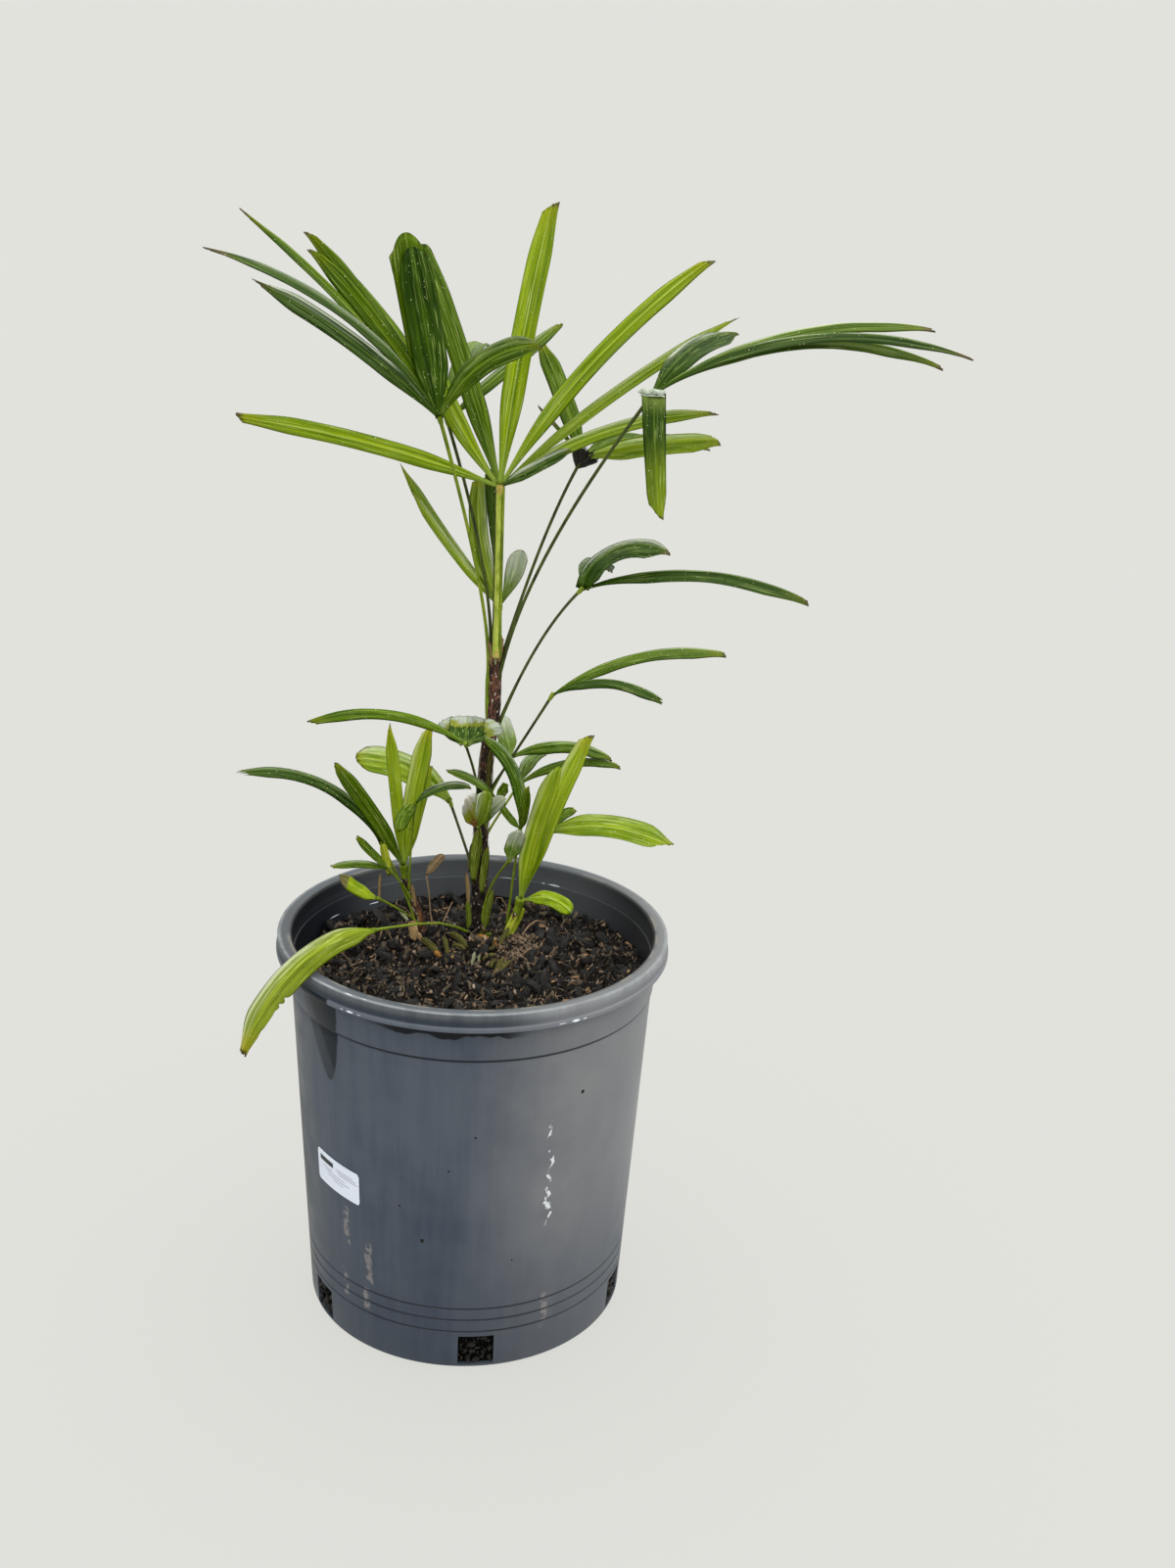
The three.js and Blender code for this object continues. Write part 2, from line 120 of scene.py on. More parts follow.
class Wire:
    """One value on its way through a node tree."""

    def __init__(self, tree, socket):
        self.tree, self.socket = tree, socket

    def join(self, operation, *others):
        """Adds the Math node for an operation on this wire and others."""
        wires = [self, *others]
        is_vector = any(isinstance(w, Wire) and w.socket.type == "VECTOR" for w in wires)
        single = is_vector and operation in ("DOT_PRODUCT", "LENGTH")
        return draw(
            self.tree, "ShaderNodeVectorMath" if is_vector else "ShaderNodeMath", dict(enumerate(wires)),
            "Value" if single else 0, operation=operation,
        )

    def __add__(self, other):
        return self.join("ADD", other)

    def __sub__(self, other):
        return self.join("SUBTRACT", other)

    def __rsub__(self, other):
        return (self * -1) + other

    def __mul__(self, other):
        return self.join("MULTIPLY", other)

    def __truediv__(self, other):
        return self.join("DIVIDE", other)

    def __abs__(self):
        return self.join("ABSOLUTE")

    __radd__, __rmul__ = __add__, __mul__


def smooth(wire, low, high, to_low=0.0, to_high=1.0):
    """Moves a value softly from to_low to to_high while the wire runs from low to high."""
    ends = {"From Min": low, "From Max": high, "To Min": to_low, "To Max": to_high}
    return draw(wire.tree, "ShaderNodeMapRange", {"Value": wire, **ends}, interpolation_type="SMOOTHSTEP")


def triple(tree, x, y, z):
    """Three values as one vector."""
    return draw(tree, "ShaderNodeCombineXYZ", {"X": x, "Y": y, "Z": z})


def part(wire, axis):
    """One axis of a vector: X, Y or Z."""
    return draw(wire.tree, "ShaderNodeSeparateXYZ", {0: wire}, axis)


def grain(wire, scale, detail=2.0, roughness=0.5):
    """Soft noise from 0 to 1 at the place a vector wire names."""
    inputs = {"Vector": wire, "Scale": scale, "Detail": detail, "Roughness": roughness}
    return draw(wire.tree, "ShaderNodeTexNoise", inputs)

# %% New trees
GEOMETRY, NUMBER, VECTOR = "NodeSocketGeometry", "NodeSocketFloat", "NodeSocketVector"
FINISH, OBJECT = "NodeSocketMaterial", "NodeSocketObject"
KINDS = {float: NUMBER, int: "NodeSocketInt", tuple: VECTOR}


def new_tree(name, kind, inputs, outputs, output_kind):
    """A node tree with named sockets. An input's first value tells its kind, or its kind is named."""
    tree = bpy.data.node_groups.new(name, kind)
    for label, value in inputs.items():
        named = isinstance(value, str)
        item = tree.interface.new_socket(
            label, in_out="INPUT", socket_type=value if named else KINDS[type(value)])
        if not named:
            item.default_value = value
    for label in outputs:
        tree.interface.new_socket(label, in_out="OUTPUT", socket_type=output_kind)
    entry = tree.nodes.new("NodeGroupInput")
    return tree, {s.name: Wire(tree, s) for s in entry.outputs if s.name}, tree.nodes.new("NodeGroupOutput")


def new_effect(name, inputs, *outputs):
    """A shader group that reads a place and hands out masks."""
    return new_tree(name, "ShaderNodeTree", {"Place": VECTOR, **inputs}, outputs, NUMBER)


def new_maker(name, inputs):
    """A geometry tree that turns a pattern mesh into a piece."""
    return new_tree(name, "GeometryNodeTree", {"Geometry": GEOMETRY, **inputs}, ["Geometry"], GEOMETRY)


def hand_out(tree, result, **values):
    """Joins wires to the named outputs of a tree."""
    for key, value in values.items():
        feed(tree, value, result.inputs[key])


def end_tree(tree, made, given, result, soft=False):
    """Ends a geometry tree: makes its copies real, softens the faces if asked and sets the finish."""
    made = put(tree, "GeometryNodeRealizeInstances", {"Geometry": made})
    if soft:
        made = put(tree, "GeometryNodeSetShadeSmooth", {"Geometry": made})
    made = put(tree, "GeometryNodeSetMaterial", {"Geometry": made, "Material": given["Finish"]})
    hand_out(tree, result, Geometry=made)


def read(tree, name, kind="FLOAT"):
    """A number or vector that the pattern's points carry."""
    return draw(tree, "GeometryNodeInputNamedAttribute", {"Name": name}, "Attribute", data_type=kind)

# %% [markdown]
# ## From a pattern to a piece
# Most pieces start as a pattern, a mesh whose points carry numbers. A geometry tree reads the numbers and
# grows the piece, and the result is kept as a plain mesh.

# %% From a pattern to a piece
def pattern_mesh(name, vertices, edges=(), faces=(), **attributes):
    """A mesh whose points carry named numbers or vectors for a tree to read."""
    mesh = bpy.data.meshes.new(name)
    mesh.from_pydata([tuple(v) for v in vertices], list(edges), list(faces))
    for key, values in attributes.items():
        values = np.asarray(values, np.float32)
        is_vector = values.ndim == 2
        layer = mesh.attributes.new(key, "FLOAT_VECTOR" if is_vector else "FLOAT", "POINT")
        layer.data.foreach_set("vector" if is_vector else "value", values.ravel())
    return mesh


def circle(radius, turns, centre=(0, 0)):
    """Points round a circle."""
    angles = [2 * math.pi * side / turns for side in range(turns)]
    return [(centre[0] + radius * math.cos(a), centre[1] + radius * math.sin(a)) for a in angles]


def ring_faces(rings, turns, first=0, upright=False):
    """Faces that join each ring of points to the next: on flat ground, or round an upright stem."""
    faces = []
    for ring in range(rings):
        a, b = first + ring * turns, first + (ring + 1) * turns
        for side in range(turns):
            after = (side + 1) % turns
            flat = (a + side, b + side, b + after, a + after)
            faces.append((a + side, a + after, b + after, b + side) if upright else flat)
    return faces


def new_piece(name, mesh, *finishes):
    """An object at the origin with its mesh and finishes."""
    piece = bpy.data.objects.new(name, mesh)
    collection.objects.link(piece)
    for finish in finishes:
        mesh.materials.append(finish)
    return piece


def grow(name, pattern, tree, **sizes):
    """Runs a geometry tree on a pattern mesh and keeps the result as a plain piece."""
    holder = new_piece(name + "_pattern", pattern)
    modifier = holder.modifiers.new("grow", "NODES")
    modifier.node_group = tree
    wanted = {key.replace("_", " "): value for key, value in sizes.items()}
    for item in tree.interface.items_tree:
        if item.item_type == "SOCKET" and item.in_out == "INPUT" and item.name in wanted:
            modifier[item.identifier] = wanted.pop(item.name)
    assert not wanted, f"{tree.name} has no input named {sorted(wanted)}"
    made = bpy.data.meshes.new_from_object(holder.evaluated_get(bpy.context.evaluated_depsgraph_get()))
    bpy.data.objects.remove(holder)
    made.name = name
    return new_piece(name, made)


def keep(piece, slot, *nodes):
    """Every finished piece rides on the one body and stands for its solids. The slot it is given is not used.
    """
    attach(piece, "root")
    if nodes:
        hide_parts(*nodes)
    print(piece.name, "faces:", len(piece.data.polygons))
    return piece


def join(pieces, name):
    """Several pieces as one mesh."""
    with bpy.context.temp_override(active_object=pieces[0], object=pieces[0], selected_objects=pieces,
                                   selected_editable_objects=pieces):
        bpy.ops.object.join()
    pieces[0].name = name
    return pieces[0]


def smooth_by_angle(piece, degrees=32):
    """Soft faces, with hard edges only where two faces meet at more than this angle."""
    piece.data.shade_smooth()
    piece.data.set_sharp_from_angle(angle=math.radians(degrees))

# %% [markdown]
# ## Sizes of the pot
# These come first, because the pot's finish and its wall both read them. The body is a cone that widens
# evenly from the foot to the collar, so one slope gives its radius at any height. All are millimetres.

# %% Pot dimensions
POT_HEIGHT, RIM_RADIUS, RIM_INNER_RADIUS, RIM_DEPTH = 309.4, 150, 138, 14.0
RIM_FOOT = POT_HEIGHT - RIM_DEPTH
RIM_SKIRT, RIM_FLANGE = 2.6, 3
COLLAR_FOOT_RADIUS, COLLAR_FOOT_HEIGHT, COLLAR_TOP_RADIUS, COLLAR_STEP = 138.7, 268.3, 142, 1.2
BODY_TAPER, WALL, FLOOR_THICKNESS, FOOT_CHAMFER = 0.048, 2.2, 2.5, 1.5
LEDGE_HEIGHT, LEDGE_WIDTH = 293, 1.5
GROOVE_HEIGHTS, GROOVE_DEPTH, GROOVE_HALF = (53.6, 43.4, 32.7), 0.8, 1.0
WINDOW_WIDTH, WINDOW_HEIGHT, FRONT_WINDOW_ANGLE = 27, 26, -86
WINDOW_OFFSETS = (0, 65, 125, 180, 235, 295)
POT_TURNS = 192
# The wall's radius at the ground, rounded to a tenth.
ROUND_FOOT_RADIUS = 125.8


def body_radius(height):
    """The radius of the wall's outside at a height."""
    return COLLAR_FOOT_RADIUS - (COLLAR_FOOT_HEIGHT - height) * BODY_TAPER


INNER_FOOT, INNER_TOP = body_radius(FLOOR_THICKNESS) - WALL, RIM_INNER_RADIUS - LEDGE_WIDTH


def inner_radius(height):
    """The radius of the wall's inside at a height, from the pot's floor to the ledge."""
    rise = INNER_TOP - INNER_FOOT
    return INNER_FOOT + rise * (height - FLOOR_THICKNESS) / (LEDGE_HEIGHT - FLOOR_THICKNESS)

# %% [markdown]
# ## Effects that several finishes share
# Real surfaces are never one even colour. Plastic has cloudy patches, fibre has streaks, a leaf has ribs.
# Each such effect is a node group of its own, built once, with named inputs, and each finish uses it
# with its own values. A group only hands out masks and heights. The shader stays in the finish.

# %% Shared shader groups
def srgb(red, green, blue):
    """A colour given from 0 to 255 as the linear colour that nodes expect."""
    return tuple(
        (c / 255 / 12.92) if c / 255 <= 0.04045 else ((c / 255 + 0.055) / 1.055) ** 2.4
        for c in (red, green, blue)
    )


# Two sizes of soft patches, and a fine grain.
clouding, given, result = new_effect(
    "clouding", {"Large scale": 10.0, "Small scale": 60.0, "Grain scale": 900.0}, "Patches", "Grain")
large = grain(given["Place"], given["Large scale"], 3.0)
small = grain(given["Place"] + 3.7, given["Small scale"], 3.0)
hand_out(clouding, result, Patches=smooth(large * 0.65 + small * 0.35, 0.32, 0.68),
         Grain=grain(given["Place"], given["Grain scale"]))

# Streaks run along one direction, because the place is squeezed along it first.
streaking, given, result = new_effect("streaking", {"Squeeze": (1.0, 1.0, 0.08), "Scale": 300.0}, "Streaks")
streaks = grain(given["Place"] * given["Squeeze"], given["Scale"], 3.0, 0.6)
hand_out(streaking, result, Streaks=smooth(streaks, 0.3, 0.7))

# The angle round the pot in degrees, and the height in millimetres.
wall_place, given, result = new_effect("wall_place", {}, "Angle", "Height")
turn = part(given["Place"], "Y").join("ARCTAN2", part(given["Place"], "X"))
hand_out(wall_place, result, Angle=turn * math.degrees(1), Height=part(given["Place"], "Z") / MM)

# A ragged mark on the wall: a tall narrow window with soft edges, broken up by noise.
wall_mark, given, result = new_effect("wall_mark", {
    "Angle": 0.0, "Height": 0.0, "At angle": 0.0, "At height": 0.0, "Half width": 1.0, "Half height": 10.0,
    "Wander": 1.0, "Holes": 0.5, "Fineness": 200.0}, "Mark")
wander = (grain(given["Place"], 90.0) - 0.5) * given["Wander"] * 4.0
aside = abs(given["Angle"] + wander - given["At angle"]) / given["Half width"]
above = abs(given["Height"] - given["At height"]) / given["Half height"]
holes = smooth(grain(given["Place"] + 1.3, given["Fineness"], 3.0) - given["Holes"], -0.02, 0.05)
hand_out(wall_mark, result, Mark=smooth(aside, 1.0, 0.6) * smooth(above, 1.0, 0.85) * holes)

# The ribs, veins, tip and blemishes of one leaflet, from its own share along and across.
leaf_pattern, given, result = new_effect(
    "leaf_pattern", {"Share": 0.0, "Across": 0.0, "Ribs": 3.0, "Number": 0.0, "Dry from": 0.97},
    "Rib", "Veins", "Stripes", "Tip", "Dry", "Spot", "Patches", "Root", "Edge", "Glint")
share, across, number = given["Share"], given["Across"], given["Number"]


def leaf_noise(along, aside, change, scale, detail=2.0, shift=0.0):
    """Noise on the flat leaflet, stretched along and across, and different on each leaflet."""
    return grain(triple(leaf_pattern, share * along, across * aside, number * change) + shift, scale, detail)


wobble = (leaf_noise(6.0, 0.6, 1.0, 2.0) - 0.5) * 0.16
distance = abs(across + wobble * 0.2)
ridge = ((across + wobble * 0.4) * given["Ribs"] * math.pi).join("COSINE")
veins = smooth(leaf_noise(0.5, 8.0, 1.0, 2.2), 0.3, 0.7)
glints = smooth(leaf_noise(2.2, 5.5, 2.1, 2.4, 1.0), 0.6, 0.7)
ragged = share + (leaf_noise(6.0, 0.6, 1.0, 4.0, 3.0, 5.0) - 0.5) * 0.12
less_ragged = share + (leaf_noise(6.0, 0.6, 1.0, 4.0, 3.0, 5.0) - 0.5) * 0.06
hand_out(
    leaf_pattern, result, Veins=veins,
    Rib=smooth(ridge, 0.8, 1.0) * 0.16 + smooth(distance, 0.09, 0.02) * 0.8,
    Edge=smooth(distance, 0.86, 0.96),
    Stripes=smooth(leaf_noise(0.9, 2.4, 1.3, 1.9, 1.0), 0.34, 0.66),
    Glint=glints * smooth(distance, 0.95, 0.85),
    Patches=smooth(leaf_noise(3.0, 1.0, 1.7, 1.6, 3.0), 0.3, 0.7),
    Tip=smooth(ragged, 0.84, 1.0),
    Dry=smooth(less_ragged - given["Dry from"], -0.005, 0.02),
    Spot=smooth(grain(given["Place"], 95.0, 1.0), 0.755, 0.79),
    Root=smooth(share, 0.2, 0.0) * (veins * 0.7 + 0.3),
)
print("shared effects:", [g.name for g in bpy.data.node_groups])

# %% [markdown]
# ## Finishes
# A finish is one material. Each starts with a Principled shader, reads the object's own coordinates or the
# numbers its points carry, and mixes plain colours by the masks of the shared groups.

# %% Material tools
def new_finish(name):
    """A material with its Principled shader and the object's own coordinates."""
    material = bpy.data.materials.new(name)
    material.use_nodes = True
    tree = material.node_tree
    return material, tree, tree.nodes["Principled BSDF"], draw(tree, "ShaderNodeTexCoord", output="Object")


def effect(tree, group, **values):
    """Places a shared group in a finish and returns its outputs as wires."""
    node = put(tree, "ShaderNodeGroup", node_tree=group)
    for key, value in values.items():
        feed(tree, value, node.inputs[key.replace("_", " ")])
    return {s.name: Wire(tree, s) for s in node.outputs}


def blend(tree, mask, first, second):
    """A colour between two, by a mask from 0 to 1."""
    return draw(tree, "ShaderNodeMix", {"Factor": mask, 6: first, 7: second}, 2, data_type="RGBA")


def paint(tree, colour, *layers):
    """Lays one colour after another over the first, each where its mask lets it show."""
    for mask, shade in layers:
        colour = blend(tree, mask, colour, shade if isinstance(shade, Wire) else srgb(*shade))
    return colour


def own(tree, name):
    """A number that the piece's points carry."""
    return draw(tree, "ShaderNodeAttribute", output="Fac", attribute_name=name)


def clouds_in(tree, place, large, small, fine):
    """Patches and grain at three scales."""
    return effect(tree, clouding, Place=place, Large_scale=large, Small_scale=small, Grain_scale=fine)


def surface(tree, shader, colour, roughness, specular, height, strength, distance):
    """Joins colour, roughness and relief to the shader, and sets how much it mirrors."""
    feed(tree, colour, shader.inputs["Base Color"])
    feed(tree, roughness, shader.inputs["Roughness"])
    shader.inputs["Specular IOR Level"].default_value = specular
    bump = put(tree, "ShaderNodeBump", {"Height": height, "Strength": strength, "Distance": distance})
    tree.links.new(bump.outputs["Normal"], shader.inputs["Normal"])

# %% [markdown]
# ### Pot plastic
# The pot is blue-grey moulded plastic, matt from use and still wet. It has cloudy patches, faint upright
# streaks, a chain of pale scuffs on its front right, and dried splashes low down that skip the grooves.
# Light and shade are painted on it as well: a paler lit side, painted shade low down, in the grooves, under
# the rim and inside, a leaf's painted shadow, and painted highlights on the rim. All of these are masks on
# the wall's own angle and height, painted one over the other.

# %% Pot plastic: where each effect lies
pot_plastic, tree, shader, place = new_finish("pot_plastic")
wall = effect(tree, wall_place, Place=place)
angle, height = wall["Angle"], wall["Height"]
across_pot = (place * (1.0, 1.0, 0.0)).join("LENGTH")
clouds = clouds_in(tree, place, 9.0, 45.0, 1400.0)
upright = effect(tree, streaking, Place=place, Scale=90.0, Squeeze=(1, 1, 0.06))
# Painted light: the side the light comes from is painted a paler grey, less so low down.
lit_side = smooth(angle, -100, -54) * smooth(angle, 70, 20) * (clouds["Patches"] * 0.3 + 0.7)
lit_side = lit_side * smooth(height, 40, 170, 0.48, 1.0)
# Painted shade darkens the grooves and the collar's step, less on the far left, which is painted darkest
# as the side in shade. A ragged band under the rim, at the front, is painted shadow with hanging drops.
grooves = sum(smooth(abs(height - groove), 1.4, 0.3) for groove in GROOVE_HEIGHTS)
grooves_show = smooth(angle, -150, -118, 0.3, 1.0) * smooth(angle, 180, 150, 0.3, 1.0)
step_line = smooth(abs(height - COLLAR_FOOT_HEIGHT), 1.7, 0.6)
shaded_side = smooth(angle, -146, -166) + smooth(angle, 150, 176)
drips = (grain(place * (1.0, 1.0, 0.15), 60.0) - 0.5) * 9.0
under_rim = smooth(height + drips, RIM_FOOT - 8.6, RIM_FOOT - 7.4) * smooth(height, RIM_FOOT + 1, RIM_FOOT)
under_rim = under_rim * smooth(angle, -124, -112) * smooth(angle, -72, -82)
# The rim's top is painted lighter, as painted light, and its inner edge darker, with dry pale marks. Its
# outer edge has a painted highlight, and its outer face is painted dark on the front and left, as painted
# shade.
rim_top = smooth(height, 302, 308)
rim_inner = smooth(across_pot, 0.1432, 0.1398) * rim_top
dry_marks = smooth(grain(place * (1.0, 1.0, 0.2), 34.0, 3.0), 0.52, 0.6)
rim_edge_highlight = smooth(across_pot, 0.1452, 0.1478) * rim_top * (upright["Streaks"] * 0.5 + 0.5)
rim_face_shade = smooth(across_pot, 0.1462, 0.1478) * smooth(height, RIM_FOOT + 3.6, RIM_FOOT + 5.0)
rim_face_shade = rim_face_shade * smooth(height, 309.2, 308.4) * smooth(angle, -64, -84)
# A painted highlight runs along the rim's bead.
bead_highlight = smooth(height, RIM_FOOT, RIM_FOOT + 1) * smooth(height, RIM_FOOT + 4.4, RIM_FOOT + 3.4)
# Painted shade: the inside is darker, palest at the back and darkest at the sides and front.
outer_wall = (height * BODY_TAPER + ROUND_FOOT_RADIUS) * MM
inside = smooth(outer_wall - across_pot, 0.0006, 0.0012) * smooth(height, 60, 62)
inside_shade = blend(tree, smooth(angle, 20, 62) * smooth(angle, 152, 112), srgb(18, 20, 24), srgb(87, 90, 94))
# Painted shadow: the leaf that hangs over the rim casts a dark tapering patch down the wall.
SHADOW_TOP, SHADOW_FOOT, SHADOW_TIP, SHADOW_FULL = 300.0, 225.0, -138.4, 290.0
shadow_share = (height - SHADOW_FOOT) / (SHADOW_FULL - SHADOW_FOOT)
shadow_half = shadow_share.join("MAXIMUM", 0.0).join("POWER", 0.55) * 9.6 + (grain(place, 120.0) - 0.5) * 1.2
shadow_offset = angle - SHADOW_TIP + shadow_share * 4.1
shadow_ends = smooth(height, SHADOW_FOOT - 1, SHADOW_FOOT + 1) * smooth(height, SHADOW_TOP, SHADOW_TOP - 1)
leaf_shadow = smooth(shadow_half - abs(shadow_offset), 0.0, 0.8) * shadow_ends
leaf_shadow_core = smooth(shadow_offset + 4.0 + (height - 280) * 0.15, -0.8, 1.2)


def mark(at_angle, at_height, half_width, half_height, wander, holes, fineness):
    """A ragged mark on the wall, centred at an angle in degrees and a height in millimetres."""
    return effect(
        tree, wall_mark, Place=place, Angle=angle, Height=height, At_angle=at_angle, At_height=at_height,
        Half_width=half_width, Half_height=half_height, Wander=wander, Holes=holes, Fineness=fineness,
    )["Mark"]


scuffs = mark(-63.6, 152, 0.75, 32, 1.3, 0.5, 170.0) + mark(-64.6, 170, 0.5, 44, 1.0, 0.56, 240.0)
# Each dried splash: its angle, its height, half of how tall it is. Each speck: angle, height, size.
SPLASHES = ((-133.7, 104, 18), (-124.2, 79, 20), (-135.6, 50, 14), (-125.4, 46, 10), (-62.2, 43, 17))
SPECKS = ((-104.4, 113, 0.7), (-53.4, 229, 0.7), (-112, 140, 0.4), (-88, 205, 0.4), (-75, 96, 0.35),
          (-96, 176, 0.35))

# %% Pot plastic: its colours, laid over each other
colour = paint(
    tree, blend(tree, clouds["Patches"], srgb(54, 64, 78), srgb(71, 79, 91)),
    (upright["Streaks"] * 0.25, (94, 99, 106)),
    # painted light: paler on the side the light comes from
    (lit_side * 0.85, (122, 122, 124)),
    # painted shade: darker towards the ground
    (smooth(height, 170, 0) * 0.4, (44, 50, 60)),
    # painted shade in the grooves and the collar's step, and on the far left
    (grooves * grooves_show * 0.75 + step_line * 0.95, (14, 18, 26)),
    (shaded_side * 0.5, (26, 28, 34)),
    # painted shadow under the rim, with hanging drops
    (under_rim, (16, 18, 24)),
    # painted light on the rim's top
    (rim_top * 0.35, (96, 98, 100)),
    (rim_inner * 0.6, (62, 66, 70)),
    (rim_inner * dry_marks * 0.55, (140, 134, 124)),
    # painted highlight along the rim's outer edge
    (rim_edge_highlight * 0.7, (146, 150, 154)),
    # painted shade on the rim's outer face, on the front and left
    (rim_face_shade * 0.6, (26, 32, 40)),
    # painted highlight along the rim's bead
    (bead_highlight * 0.35, (116, 122, 130)),
    # painted shade inside the pot
    (inside * 0.88, inside_shade),
    # the leaf's painted shadow, darkest in its core
    (leaf_shadow * 0.8, (18, 28, 38)),
    (leaf_shadow * leaf_shadow_core, (0, 13, 24)),
    (scuffs, (205, 210, 213)),
    *((mark(at, up, 1.6, half, 0.6, 0.48, 190.0) * (1.0 - grooves) * 0.62, (130, 124, 122))
      for at, up, half in SPLASHES),
    *((mark(at, up, size, size * 2.3, 0.0, 0.1, 40.0), (18, 18, 20)) for at, up, size in SPECKS),
)
rough = smooth(clouds["Patches"] + clouds["Grain"] * 0.3, 0.0, 1.3, 0.3, 0.5) * (1.0 - leaf_shadow * 0.2)
surface(tree, shader, colour, rough, 0.16, clouds["Grain"] + scuffs * 2.0, 0.25, 0.0004)

# %% [markdown]
# ### Leaf finishes
# A leaflet is glossy and pleated. Its ribs are paler than the strips between them, its root is pale where
# all ribs meet, and its tip turns yellow, then brown at the very teeth. One function makes the finish, and
# several tones of green are dealt out leaflet by leaflet.

# %% Leaf finishes
BLACK_GREEN, GLINT_COLOUR = (0.004, 0.014, 0.0), (214, 226, 156)


def leaf_finish(name, shade, body, rib, tip, dry=(104, 92, 66), gloss=0.34, wet=0.03, bands=(),
                root=(150, 172, 84)):
    """bands: (share where it begins, share where it is full, colour), laid over the green in turn."""
    material, tree, shader, place = new_finish(name)
    share, across, dry_from, sheen = (own(tree, key) for key in ("share", "across", "dry_from", "sheen"))
    marks = effect(tree, leaf_pattern, Place=place, Share=share, Across=across, Ribs=own(tree, "ribs"),
                   Number=own(tree, "number"), Dry_from=dry_from)
    veins, stripes, patches = marks["Veins"], marks["Stripes"], marks["Patches"]
    darkest = blend(tree, 0.5, srgb(*shade), BLACK_GREEN)
    glint = [(r + g) / 2 for r, g in zip(rib, GLINT_COLOUR)]
    wandering = share + (patches - 0.5) * 0.12 + (stripes - 0.5) * 0.1
    withers = smooth(dry_from, 1.05, 1.0)
    # Where light skims one margin of an arching blade its stripes turn almost white. The other half,
    # past the fold along the rib, lies in shade.
    upper = across * sheen.join("SIGN")
    streaks = smooth(stripes + veins * 0.5, 0.3, 1.1, 0.15, 1.0)
    skim = smooth(share + patches * 0.3, 0.2, 0.65) * streaks * smooth(upper, 0.1, 0.9, 0.04, 1.0)
    colour = paint(
        tree, blend(tree, patches * 0.45 + stripes * 0.55, srgb(*shade), srgb(*body)),
        (veins * 0.4, darkest),
        *((smooth(wandering, begins, full),
           blend(tree, veins * 0.45, srgb(*band), srgb(*[c * 0.62 for c in band])))
          for begins, full, band in bands),
        (marks["Edge"] * 0.3, darkest),
        (marks["Rib"] * 0.5, rib),
        (marks["Glint"] * 0.6, glint),
        (marks["Root"] * 0.75, root),
        (marks["Tip"] * withers * 0.6, tip),
        (smooth(upper, 0.12, -0.18) * 0.3, darkest),
        (skim * abs(sheen), (220, 224, 210)),
        (marks["Spot"] * 0.8, (30, 38, 16)),
        (marks["Dry"] * 0.85, dry),
    )
    shader.inputs["Coat Weight"].default_value = wet
    shader.inputs["Coat Roughness"].default_value = 0.14
    surface(tree, shader, colour, smooth(veins + marks["Dry"], 0.0, 1.6, gloss, gloss + 0.3), 0.07,
            veins + marks["Rib"] * 0.5, 0.25, 0.0005)
    return material

# %% The tones of green, and of old sheaths
# The whitish ends of the pale, cup and shell tones are painted sheen: light on wet, upturned tips.
PAINTED_SHEEN = (204, 207, 196)
# Each tone: in the shade, the body, the ribs, the tip.
TONES = {
    "deep": leaf_finish(
        "leaf_deep", (24, 48, 0), (66, 98, 2), (96, 124, 34), (100, 112, 12), root=(66, 94, 20)),
    "mid": leaf_finish(
        "leaf_mid", (46, 74, 0), (102, 130, 2), (136, 160, 56), (128, 136, 14), root=(124, 150, 60)),
    "bright": leaf_finish("leaf_bright", (88, 118, 2), (154, 176, 10), (182, 198, 104), (150, 152, 16)),
    "young": leaf_finish("leaf_young", (112, 144, 6), (176, 192, 30), (162, 182, 56), (176, 166, 20)),
    "pale": leaf_finish("leaf_pale", (84, 112, 30), (128, 152, 66), (166, 182, 120), (180, 188, 160),
                        bands=((0.3, 0.8, (180, 188, 168)),)),
    "cup": leaf_finish("leaf_cup", (30, 56, 6), (66, 96, 12), (108, 136, 48), PAINTED_SHEEN,
                       bands=((0.46, 0.56, (134, 140, 44)), (0.62, 0.82, (172, 180, 168)))),
    "shell": leaf_finish("leaf_shell", (120, 74, 34), (176, 120, 62), (186, 156, 90), PAINTED_SHEEN,
                         bands=((0.22, 0.36, (146, 162, 36)), (0.5, 0.8, PAINTED_SHEEN)), root=(150, 96, 50)),
    "vivid": leaf_finish(
        "leaf_vivid", (44, 76, 0), (84, 120, 0), (132, 160, 56), (112, 140, 20), root=(104, 134, 60)),
    "turning": leaf_finish("leaf_turning", (26, 50, 2), (60, 88, 6), (104, 130, 46), (126, 140, 16),
                           bands=((0.2, 0.9, (114, 136, 6)),)),
    "lime": leaf_finish(
        "leaf_lime", (84, 102, 0), (136, 150, 0), (164, 180, 54), (174, 160, 14), root=(112, 140, 30)),
}
DRY = leaf_finish("leaf_dry", (112, 92, 66), (152, 128, 98), (170, 148, 118), (122, 98, 70), gloss=0.6,
                  wet=0.0, root=(138, 108, 84))
